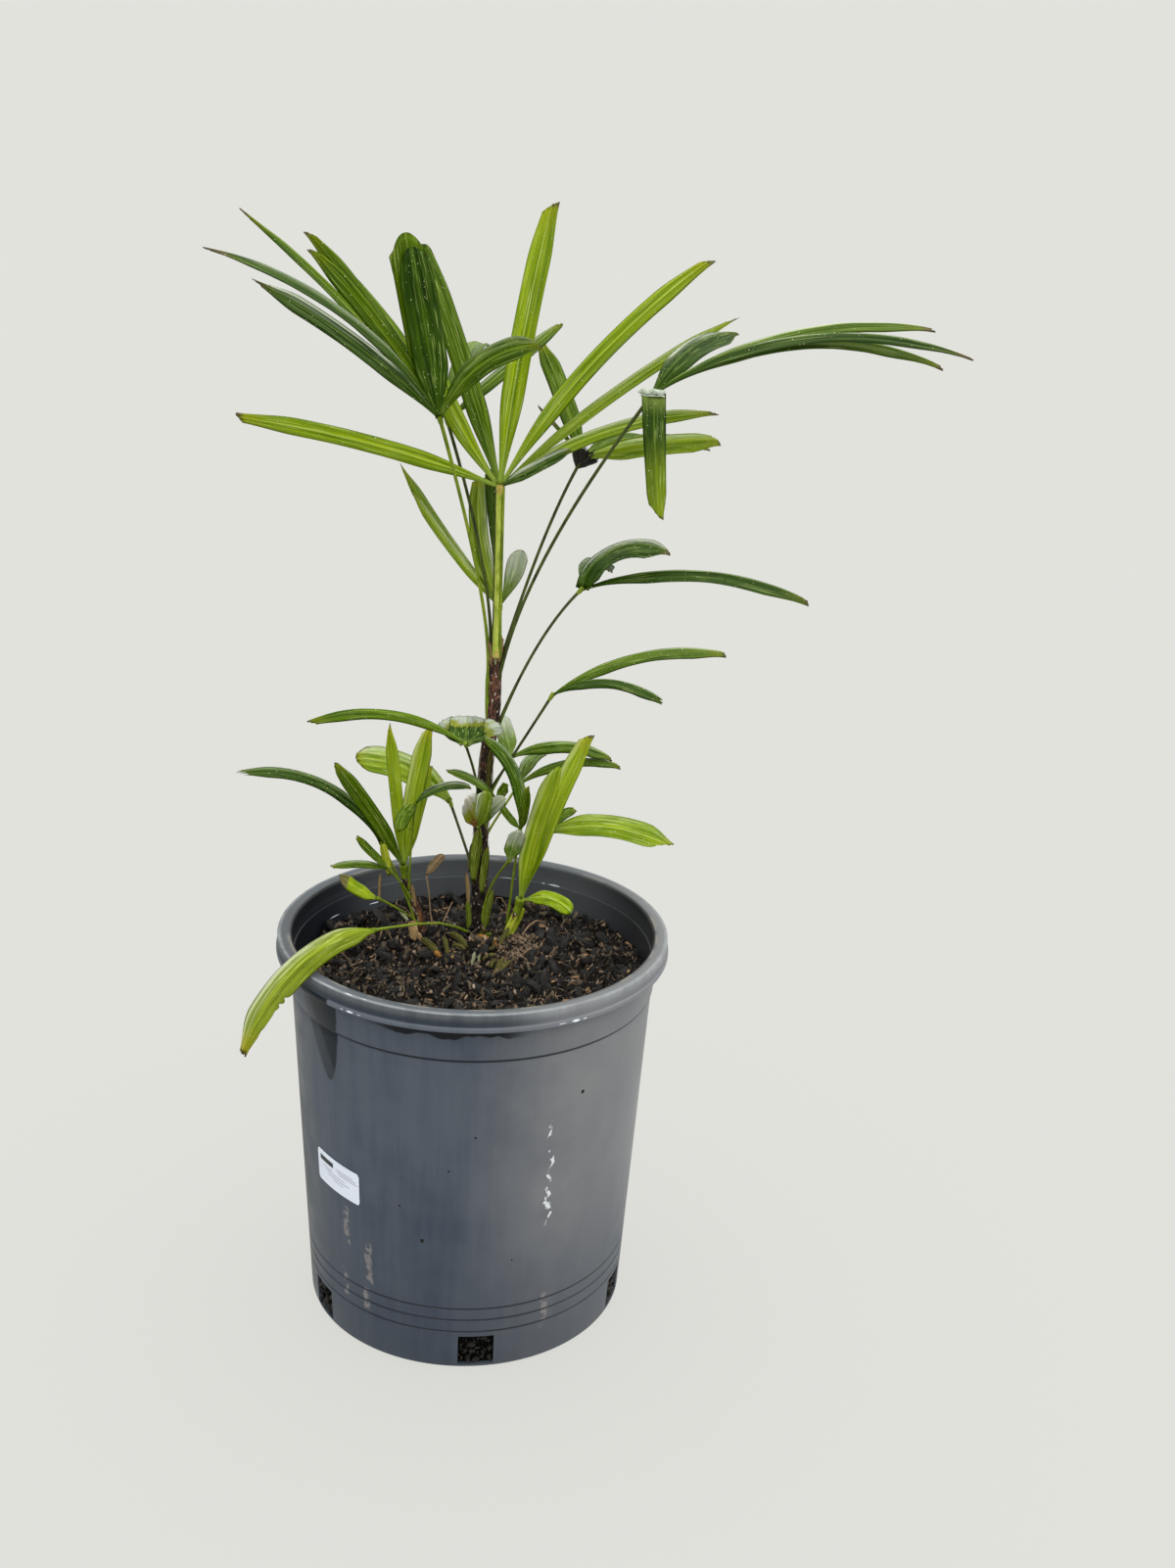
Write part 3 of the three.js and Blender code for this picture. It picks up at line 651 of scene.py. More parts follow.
SHEATHS = {
    "deep": leaf_finish(
        "sheath_olive", (42, 42, 16), (94, 88, 36), (116, 108, 56), (128, 88, 44), root=(88, 72, 36)),
    "mid": leaf_finish(
        "sheath_green", (66, 82, 14), (118, 132, 40), (146, 154, 70), (132, 116, 56), root=(112, 120, 40)),
    "bright": leaf_finish("sheath_tan", (104, 80, 50), (168, 140, 98), (186, 160, 122), (110, 84, 54),
                          gloss=0.55, wet=0.0, root=(128, 98, 66)),
    "young": leaf_finish("sheath_orange", (108, 68, 30), (176, 118, 52), (194, 154, 96), (108, 66, 32),
                         gloss=0.45, root=(150, 104, 52)),
    "pale": leaf_finish("sheath_yellow", (140, 152, 14), (188, 196, 50), (214, 216, 130), (190, 180, 60),
                        root=(112, 120, 30)),
    "cup": leaf_finish("sheath_white", (104, 112, 70), (170, 174, 150), (190, 192, 170), (150, 146, 120),
                       root=(120, 120, 96)),
}

# %% Stalk, fibre and bark finishes
def plain_finish(name, dark, light, scale, rough, squeeze=(1, 1, 1), bump=0.2, depth=0.0004, shine=0.1):
    """A streaked finish for stalks, fibres, bark and crumbs."""
    material, tree, shader, place = new_finish(name)
    clouds = clouds_in(tree, place, scale * 0.3, scale, scale * 6)
    lines = effect(tree, streaking, Place=place, Scale=scale * 3, Squeeze=squeeze)
    colour = blend(tree, lines["Streaks"] * 0.5 + clouds["Patches"] * 0.5, srgb(*dark), srgb(*light))
    surface(tree, shader, colour, smooth(clouds["Grain"], 0.2, 0.8, rough - 0.1, rough + 0.1), shine,
            lines["Streaks"] + clouds["Grain"], bump, depth)
    return material


STALK = plain_finish("stalk_green", (62, 84, 8), (132, 150, 42), 200, 0.4, (1, 1, 0.06))
STALK_PALE = plain_finish("stalk_pale", (104, 124, 18), (188, 198, 92), 260, 0.4, (1, 1, 0.05))
STALK_DARK = plain_finish("stalk_dark", (30, 36, 16), (78, 90, 38), 160, 0.45, (1, 1, 0.08))
KNUCKLE = plain_finish("knuckle_pale", (132, 124, 46), (196, 176, 98), 260, 0.5)


def bark_finish(name, always_fresh):
    """Near black and wet low down, fresh reddish brown above, with pale flecks that are painted glints."""
    material, tree, shader, place = new_finish(name)
    clouds = clouds_in(tree, place, 110.0, 420.0, 1500.0)
    lines = effect(tree, streaking, Place=place, Scale=620.0, Squeeze=(1, 1, 0.16))
    fresh = smooth(part(place, "Z") + (clouds["Patches"] - 0.5) * 0.05, 0.4, 0.47, always_fresh, 1.0)
    dark = blend(tree, fresh, srgb(10, 8, 7), srgb(24, 14, 11))
    light = blend(tree, fresh, srgb(62, 48, 38), srgb(138, 92, 72))
    bark_glints = smooth(grain(place * (1.0, 1.0, 0.6), 460.0, 1.0), 0.635, 0.675)
    colour = paint(tree, blend(tree, smooth(lines["Streaks"] + clouds["Patches"], 0.5, 1.7), dark, light),
                   (bark_glints * 0.9, (214, 200, 184)))
    surface(tree, shader, colour, smooth(clouds["Grain"], 0.2, 0.8, 0.4, 0.65), 0.2,
            lines["Streaks"] + clouds["Grain"] + bark_glints, 0.8, 0.0014)
    return material


BARK = bark_finish("stem_bark", 0.0)
SHOOT_BARK = bark_finish("shoot_bark", 0.6)
FIBRE = plain_finish("stem_fibre", (26, 19, 15), (120, 90, 70), 200, 0.75, (1, 1, 0.2), 0.4, 0.0006, 0.3)
HUB = plain_finish("hub_fibre", (14, 14, 14), (44, 40, 34), 200, 0.5, (1, 1, 1), 0.4, 0.0006, 0.3)
print("finishes:", len(bpy.data.materials))

# %% [markdown]
# ## The pot
# The real pot is one moulding: a tapering wall, a wider collar, a rim that turns out and down, three fine
# grooves near its foot, and drain windows cut through the wall. It could be spun from a profile, or made
# with a Screw modifier. Here a geometry tree rolls a flat sheet into the wall: each point of the sheet
# carries its turn, its radius and its height. The windows are cut by a Boolean in the same tree, so their
# size stays a named input.

# %% The pot's outline
PLAIN_WALL_HEIGHTS, INNER_WALL_HEIGHTS = range(70, 261, 19), range(260, 20, -40)


def corner(centre_radius, centre_height, size, start, stop, steps=4):
    """Points round a small rounded corner, from one angle to another in degrees."""
    return [
        (centre_radius + size * math.cos(math.radians(a)), centre_height + size * math.sin(math.radians(a)))
        for a in np.linspace(start, stop, steps + 1)
    ]


def pot_profile():
    """The wall's outline from the middle of the underside, up the outside and down the inside."""
    foot, collar, step = body_radius(0), COLLAR_FOOT_HEIGHT, COLLAR_FOOT_RADIUS + COLLAR_STEP
    points = [(0, 0), (foot * 0.6, 0), (foot - FOOT_CHAMFER, 0), (foot - 0.4, 0.4), (foot, FOOT_CHAMFER),
              (body_radius(22), 22)]
    for height in sorted(GROOVE_HEIGHTS):
        low, high, bottom = height - GROOVE_HALF, height + GROOVE_HALF, body_radius(height) - GROOVE_DEPTH
        points += [(body_radius(low), low), (bottom, height - 0.2), (bottom, height + 0.2),
                   (body_radius(high), high)]
    points += [(body_radius(h), h) for h in PLAIN_WALL_HEIGHTS]
    points += [(body_radius(collar - 2), collar - 2), (body_radius(collar) - 0.7, collar - 0.3),
               (step - 0.3, collar), (step, collar + COLLAR_STEP),
               (COLLAR_TOP_RADIUS, POT_HEIGHT - RIM_DEPTH), (COLLAR_TOP_RADIUS, POT_HEIGHT - RIM_FLANGE)]
    skirt_inside, skirt_foot = RIM_RADIUS - RIM_SKIRT, POT_HEIGHT - RIM_DEPTH
    points += [(skirt_inside, POT_HEIGHT - RIM_FLANGE), (skirt_inside, skirt_foot + 0.8)]
    points += corner(skirt_inside + 0.8, skirt_foot + 0.8, 0.8, 180, 270, 3)
    points += corner(RIM_RADIUS - 1.0, skirt_foot + 1.0, 1.0, -90, 0, 4)
    points += [(RIM_RADIUS, skirt_foot + 3.2), (RIM_RADIUS - 1.3, skirt_foot + 4.4)]
    points += corner(RIM_RADIUS - 2.3, POT_HEIGHT - 1.3, 1.3, 0, 90, 5)
    points += corner(RIM_INNER_RADIUS + 2.2, POT_HEIGHT - 2.6, 2.2, 90, 180, 6)
    points += [(RIM_INNER_RADIUS, LEDGE_HEIGHT + LEDGE_WIDTH), (RIM_INNER_RADIUS - 0.4, LEDGE_HEIGHT + 0.4),
               (INNER_TOP, LEDGE_HEIGHT)]
    points += [(inner_radius(height), height) for height in INNER_WALL_HEIGHTS]
    return points + [(radius, FLOOR_THICKNESS) for radius in (INNER_FOOT, INNER_FOOT * 0.5, 0)]


profile = pot_profile()
print("points in the pot's profile:", len(profile))

# %% Pot tree: roll the sheet, cut the windows
CUTTER_LENGTH, SAME_POINT = 0.04, 1e-6
pot_tree, given, result = new_maker("roll_pot", {
    "Window width": 0.0, "Window height": 0.0, "Window floor": 0.0, "Window points": OBJECT,
    "Finish": FINISH})
turn, radius, height = (read(pot_tree, key) for key in ("turn", "radius", "height"))
rolled = put(pot_tree, "GeometryNodeSetPosition", {
    "Geometry": given["Geometry"],
    "Position": triple(pot_tree, radius * turn.join("COSINE"), radius * turn.join("SINE"), height)})
closed = put(pot_tree, "GeometryNodeMergeByDistance", {"Geometry": rolled, "Distance": SAME_POINT})
cutter = put(pot_tree, "GeometryNodeMeshCube", {
    "Size": triple(pot_tree, CUTTER_LENGTH, given["Window width"], given["Window height"])})
raised = put(pot_tree, "GeometryNodeTransform", {
    "Geometry": cutter,
    "Translation": triple(pot_tree, 0.0, 0.0, given["Window height"] * 0.5 + given["Window floor"])})
placed = put(pot_tree, "GeometryNodeInstanceOnPoints", {
    "Points": draw(pot_tree, "GeometryNodeObjectInfo", {"Object": given["Window points"]}, "Geometry"),
    "Instance": raised,
    "Rotation": put(pot_tree, "FunctionNodeAxisAngleToRotation", {
        "Axis": (0, 0, 1), "Angle": read(pot_tree, "turn")})})
cutters = put(pot_tree, "GeometryNodeRealizeInstances", {"Geometry": placed})
opened = put(pot_tree, "GeometryNodeMeshBoolean", {0: closed, 1: cutters},
             operation="DIFFERENCE", solver="EXACT")
end_tree(pot_tree, opened, given, result)

# %% Make the pot
def rolled_sheet(name, outline, turns):
    """A flat sheet for the tree: one row of points for each turn, one column for each outline point."""
    across = len(outline)
    points = [(2 * math.pi * step / turns, r * MM, z * MM) for step in range(turns) for r, z in outline]
    turn, radius, height = zip(*points)
    faces = []
    for step in range(turns):
        here, following = step * across, (step + 1) % turns * across
        faces += [(here + k, following + k, following + k + 1, here + k + 1) for k in range(across - 1)]
    return pattern_mesh(name, [(0, 0, 0)] * len(points), (), faces, turn=turn, radius=radius, height=height)


window_turns = [math.radians(FRONT_WINDOW_ANGLE + offset) for offset in WINDOW_OFFSETS]
foot = body_radius(0) * MM
window_points = new_piece("window_points", pattern_mesh(
    "window_points", [(foot * math.cos(a), foot * math.sin(a), 0) for a in window_turns], turn=window_turns))
pot = grow("pot_wall", rolled_sheet("pot_sheet", profile, POT_TURNS), pot_tree,
           Window_width=WINDOW_WIDTH * MM, Window_height=WINDOW_HEIGHT * MM,
           Window_floor=FLOOR_THICKNESS * MM, Window_points=window_points, Finish=pot_plastic)
bpy.data.objects.remove(window_points)
smooth_by_angle(pot)
keep(pot, "pot_plastic", "pot")

# %% [markdown]
# ## The sticker
# A white paper sticker with rounded corners is wrapped on the wall, a little lower at its right-hand end.
# It stays blank but for plain ruled lines. The lines are drawn in its finish, from two numbers that each
# point carries: how far along and how far up the sticker it lies.

# %% Sticker
STICKER_ANGLE, STICKER_SPAN, STICKER_HEIGHT_AT, STICKER_TALL = -137.5, 21, 143, 27
STICKER_FALL, STICKER_THICK, STICKER_GAP, STICKER_CORNER = 3, 0.35, 0.3, 2.5
STICKER_COLUMNS, STICKER_ROWS = 48, 10
sticker_half = math.radians(STICKER_SPAN) * body_radius(STICKER_HEIGHT_AT) / 2


def sticker_mesh():
    """Two skins of points on the wall's cone, outer and inner, closed all round by a thin rim."""
    vertices, faces, along, above = [], [], [], []
    for layer in (1, 0):
        for column in range(STICKER_COLUMNS + 1):
            share = column / STICKER_COLUMNS * 2 - 1
            past = max(0.0, abs(share) * sticker_half - (sticker_half - STICKER_CORNER))
            half_tall = STICKER_TALL / 2 - STICKER_CORNER + math.sqrt(max(STICKER_CORNER**2 - past**2, 0.01))
            angle = math.radians(STICKER_ANGLE + share * STICKER_SPAN / 2)
            middle = STICKER_HEIGHT_AT - share * STICKER_FALL / 2
            for row in range(STICKER_ROWS + 1):
                up = (row / STICKER_ROWS * 2 - 1) * half_tall
                height = middle + up
                radius = body_radius(height) + STICKER_GAP + layer * STICKER_THICK
                vertices.append((radius * math.cos(angle) * MM, radius * math.sin(angle) * MM, height * MM))
                along.append(share * sticker_half)
                above.append(up)
    tall, count = STICKER_ROWS + 1, (STICKER_COLUMNS + 1) * (STICKER_ROWS + 1)
    for column in range(STICKER_COLUMNS):
        for row in range(STICKER_ROWS):
            a = column * tall + row
            faces.append((a, a + tall, a + tall + 1, a + 1))
            faces.append((count + a, count + a + 1, count + a + tall + 1, count + a + tall))
    rim = [c * tall for c in range(STICKER_COLUMNS + 1)]
    rim += [STICKER_COLUMNS * tall + r for r in range(1, tall)]
    rim += [c * tall + STICKER_ROWS for c in range(STICKER_COLUMNS - 1, -1, -1)]
    rim += range(STICKER_ROWS - 1, 0, -1)
    for here, there in zip(rim, rim[1:] + rim[:1]):
        faces.append((here, count + here, count + there, there))
    return pattern_mesh("sticker", vertices, (), faces, along=along, above=above)


label_paper, tree, shader, place = new_finish("label_paper")
across_it, up_it = own(tree, "along"), own(tree, "above")
paper = clouds_in(tree, place, 60.0, 300.0, 3000.0)
INK = (20, 22, 30)
# Each ruled line: height, left end, right end, half its thickness, darkness.
RULED_LINES = ((7.3, -20.5, -3.5, 2.1, 1.0), (6.6, -0.5, 18, 0.35, 0.5), (4.8, 1, 21, 0.35, 0.55),
               (3.0, 3, 23, 0.35, 0.5), (1.8, -17, -5, 0.4, 0.5), (-0.4, -14, 10, 0.35, 0.5),
               (-2.8, -10, 14, 0.4, 0.5), (-5.2, -4, 8, 0.4, 0.4))


def ruled(height, left, right_end, half_thick, darkness):
    """The mask of one ruled line."""
    centre, half_long = (left + right_end) / 2, (right_end - left) / 2
    line = smooth(abs(up_it - height), half_thick + 0.15, half_thick - 0.05)
    return line * smooth(abs(across_it - centre), half_long + 0.2, half_long - 0.2) * darkness


blank = blend(tree, paper["Patches"] * 0.5, srgb(208, 215, 230), srgb(218, 225, 238))
colour = paint(tree, blank, *((ruled(*line), INK) for line in RULED_LINES))
surface(tree, shader, colour, smooth(paper["Grain"], 0.2, 0.8, 0.45, 0.6), 0.5, paper["Grain"], 0.1, 0.0002)
sticker = new_piece("sticker", sticker_mesh(), label_paper)
smooth_by_angle(sticker)
keep(sticker, "label_paper", "label")

# %% [markdown]
# ## The stems
# A lady palm's stem is slim and wrapped in woven brown fibre, the remains of old leaf bases. A sheet is
# rolled round a leaning curve by a tree, with lengthwise relief from noise, and a second tree sweeps loose
# strands that wind up the bark.

# %% Stem dimensions
SOIL_TOP, SEAT_GAP = 278, 0.3
# Each stem: its foot on the soil, the bend point of its curve, its top, and three radii.
STEMS = {
    "main_stem": ((3, 69), (4.5, 66, 430), (12.5, 66, 519), 8.2, 6.2, 4.5),
    "left_shoot_stem": ((-41, 59), (-49, 59, 305), (-56, 58, 324), 4.8, 3.8, 2.8),
    "right_shoot_stem": ((27, 48), (30, 46, 290), (34, 43, 303), 5, 4.2, 3.4),
}
FOOT_FLARE_SHARE, HALVINGS = 0.08, 24
# The stem isn't quite straight. Each kink: its height, how far it sways to the right, its reach.
MAIN_STEM_KINKS = ((461, 2.5, 26), (374, -1.2, 20))


def stem_point(stem, share):
    """A point of the stem's curve, from its foot at 0 to its top at 1."""
    foot, bend, top = STEMS[stem][:3]
    a, b, c = Vector((*foot, SOIL_TOP + SEAT_GAP)), Vector(bend), Vector(top)
    point = a * (1 - share) ** 2 + b * 2 * share * (1 - share) + c * share**2
    if stem == "main_stem":
        for height, sway, reach in MAIN_STEM_KINKS:
            point.x += sway * math.exp(-(((point.z - height) / reach) ** 2))
    return point


def stem_radius(stem, share):
    """The stem's radius at a share of its curve, with a flare at the foot."""
    foot_radius, radius, top_radius = STEMS[stem][3:]
    flare = max(0.0, 1 - share / FOOT_FLARE_SHARE)
    return radius + (top_radius - radius) * share + (foot_radius - radius) * flare**2


def stem_share(stem, height):
    """The share of the curve at which the stem reaches a height."""
    low, high = 0.0, 1.0
    for _ in range(HALVINGS):
        middle = (low + high) / 2
        low, high = (middle, high) if stem_point(stem, middle).z < height else (low, middle)
    return low

# %% Bark tree
bark_tree, given, result = new_maker("roll_bark", {"Relief": 0.0, "Strands": 0.0, "Finish": FINISH})
turn, thick = read(bark_tree, "turn"), read(bark_tree, "thick")
centre = read(bark_tree, "centre", "FLOAT_VECTOR")
outward = triple(bark_tree, turn.join("COSINE"), turn.join("SINE"), 0.0)
height = part(centre, "Z")
ridges = grain(outward * given["Strands"] + triple(bark_tree, 0.0, 0.0, height * 60.0), 1.6, 3.0)
rings = (height * 420.0 + grain(outward * 2.0, 1.0) * 3.0).join("SINE") * 0.25
swell = thick + (ridges - 0.5 + rings * 0.5) * given["Relief"]
bent = put(bark_tree, "GeometryNodeSetPosition",
           {"Geometry": given["Geometry"], "Position": centre + outward * swell})
closed = put(bark_tree, "GeometryNodeMergeByDistance", {"Geometry": bent, "Distance": SAME_POINT})
end_tree(bark_tree, closed, given, result)

# %% Strand tree: sweep a round section along lines
strand_tree, given, result = new_maker("sweep_strands", {"Sides": 6, "Finish": FINISH})
lines = put(strand_tree, "GeometryNodeMeshToCurve", {"Mesh": given["Geometry"]})
section = put(strand_tree, "GeometryNodeCurvePrimitiveCircle", {"Resolution": given["Sides"], "Radius": 1.0})
swept = put(strand_tree, "GeometryNodeCurveToMesh", {
    "Curve": lines, "Profile Curve": section, "Scale": read(strand_tree, "thick"), "Fill Caps": True})
end_tree(strand_tree, swept, given, result, soft=True)


def sweep(name, strands, sides, finish, slot):
    """A piece of swept lines. Each strand is (points in millimetres, radii in millimetres)."""
    vertices, edges, thick = [], [], []
    for points, radii in strands:
        first = len(vertices)
        vertices += [tuple(Vector(p) * MM) for p in points]
        thick += [r * MM for r in radii]
        edges += [(first + k, first + k + 1) for k in range(len(points) - 1)]
    pattern = pattern_mesh(name + "_lines", vertices, edges, (), thick=thick)
    return keep(grow(name, pattern, strand_tree, Sides=sides, Finish=finish), slot)

# %% Make the stems
BARK_TURNS, BARK_ROW_LENGTH, FEWEST_BARK_ROWS = 36, 2.2, 14
BARK_STRANDS, RELIEF_SHARE = 2.6, 0.3


def bark_sheet(stem):
    """Rings of points up the stem for the bark tree, drawn in to the middle at both ends."""
    length = (stem_point(stem, 1) - stem_point(stem, 0)).length
    steps = max(FEWEST_BARK_ROWS, round(length / BARK_ROW_LENGTH))
    stations = [(stem_point(stem, 0), 0.0)]
    stations += [(stem_point(stem, k / steps), stem_radius(stem, k / steps)) for k in range(steps + 1)]
    stations += [(stem_point(stem, 1), 0.0)]
    turn, thick, centre = zip(*[
        (2 * math.pi * side / BARK_TURNS, radius * MM, point * MM)
        for point, radius in stations for side in range(BARK_TURNS)])
    faces = ring_faces(len(stations) - 1, BARK_TURNS, upright=True)
    return pattern_mesh(stem + "_sheet", [(0, 0, 0)] * len(turn), (), faces,
                        turn=turn, thick=thick, centre=centre)


for stem in STEMS:
    bark = grow(stem.replace("_stem", "") + "_bark", bark_sheet(stem), bark_tree,
                Relief=stem_radius(stem, 0.3) * RELIEF_SHARE * MM, Strands=BARK_STRANDS,
                Finish=BARK if stem == "main_stem" else SHOOT_BARK)
    # A wide angle leaves hard edges only round the flat ends and the deepest ridges.
    smooth_by_angle(bark, 50)
    keep(bark, "stem_fibre", stem)

# Loose strands wind up each stem, some left-handed and some right-handed.
random = np.random.default_rng(41)
STRAND_COUNTS = {"main_stem": 64, "left_shoot_stem": 12, "right_shoot_stem": 10}
STRAND_STEPS, STRAND_THICK = 8, 0.32
strands = []
for stem, count in STRAND_COUNTS.items():
    for _ in range(count):
        start = random.uniform(0, 0.9)
        reach = random.uniform(0.08, 0.3) if stem == "main_stem" else random.uniform(0.3, 0.6)
        first_turn, winding = random.uniform(0, 2 * math.pi), random.normal(0, 2.6)
        points, radii = [], []
        for k in range(STRAND_STEPS + 1):
            share = min(start + reach * k / STRAND_STEPS, 1.0)
            angle = first_turn + winding * k / STRAND_STEPS
            lift = 0.5 + random.uniform(-0.2, 0.5)
            ring = Vector((math.cos(angle), math.sin(angle), 0)) * (stem_radius(stem, share) + lift)
            points.append(stem_point(stem, share) + ring)
            radii.append(STRAND_THICK * (1 - 0.6 * k / STRAND_STEPS))
        strands.append((points, radii))
sweep("stem_strands", strands, 5, FIBRE, "stem_fibre")

# %% [markdown]
# ## The fronds
# A lady palm frond is a fan: a thin stalk ends in a small knuckle, and strap-shaped leaflets spread from it.
# Each leaflet is a pleated ribbon that arches over under its own weight, so its rib follows an arc. That is
# a rule, and a geometry tree can apply it. The script cuts every leaflet flat, like a paper pattern, with
# its teeth and slanted end. Each point of the pattern carries its share along and across, and the angles
# of its leaflet. The tree then bends the whole fan at once, folds it along the rib and presses the pleats.

# %% The leaflets' measures
class Leaflet:
    """One strap. Angles in degrees, lengths in millimetres, shares from 0 to 1."""

    def __init__(self, heading, rise, droop, length, width, twist=0, root=0.22, tip=0.45, slant=0.05,
                 teeth=0.008, round_end=0.0, tone=None, fold=None, ribs=None, tears=(), sheen=0.0, dry=0.97,
                 broad=0.34, row_length=6.5):
        self.heading, self.rise, self.droop, self.length, self.width = heading, rise, droop, length, width
        self.twist, self.root, self.tip, self.slant, self.teeth = twist, root, tip, slant, teeth
        self.round_end, self.tone, self.fold, self.tears = round_end, tone, fold, tears
        self.sheen, self.dry, self.broad, self.row_length = sheen, dry, broad, row_length
        self.ribs = ribs or (2 if width < 10 else 3 if width < 17 else 4)


class Frond:
    """A stalk seated on a stem, a knuckle and a fan of leaflets."""

    def __init__(self, stem, seat, knuckle, stalk, face, leaflets, tone="mid", fold=0.12, dark_stalk=False):
        self.stem, self.seat, self.knuckle, self.stalk, self.face = stem, seat, Vector(knuckle), stalk, face
        self.leaflets, self.tone, self.fold, self.dark_stalk = leaflets, tone, fold, dark_stalk


L, MAIN, LEFT, RIGHT = Leaflet, "main_stem", "left_shoot_stem", "right_shoot_stem"
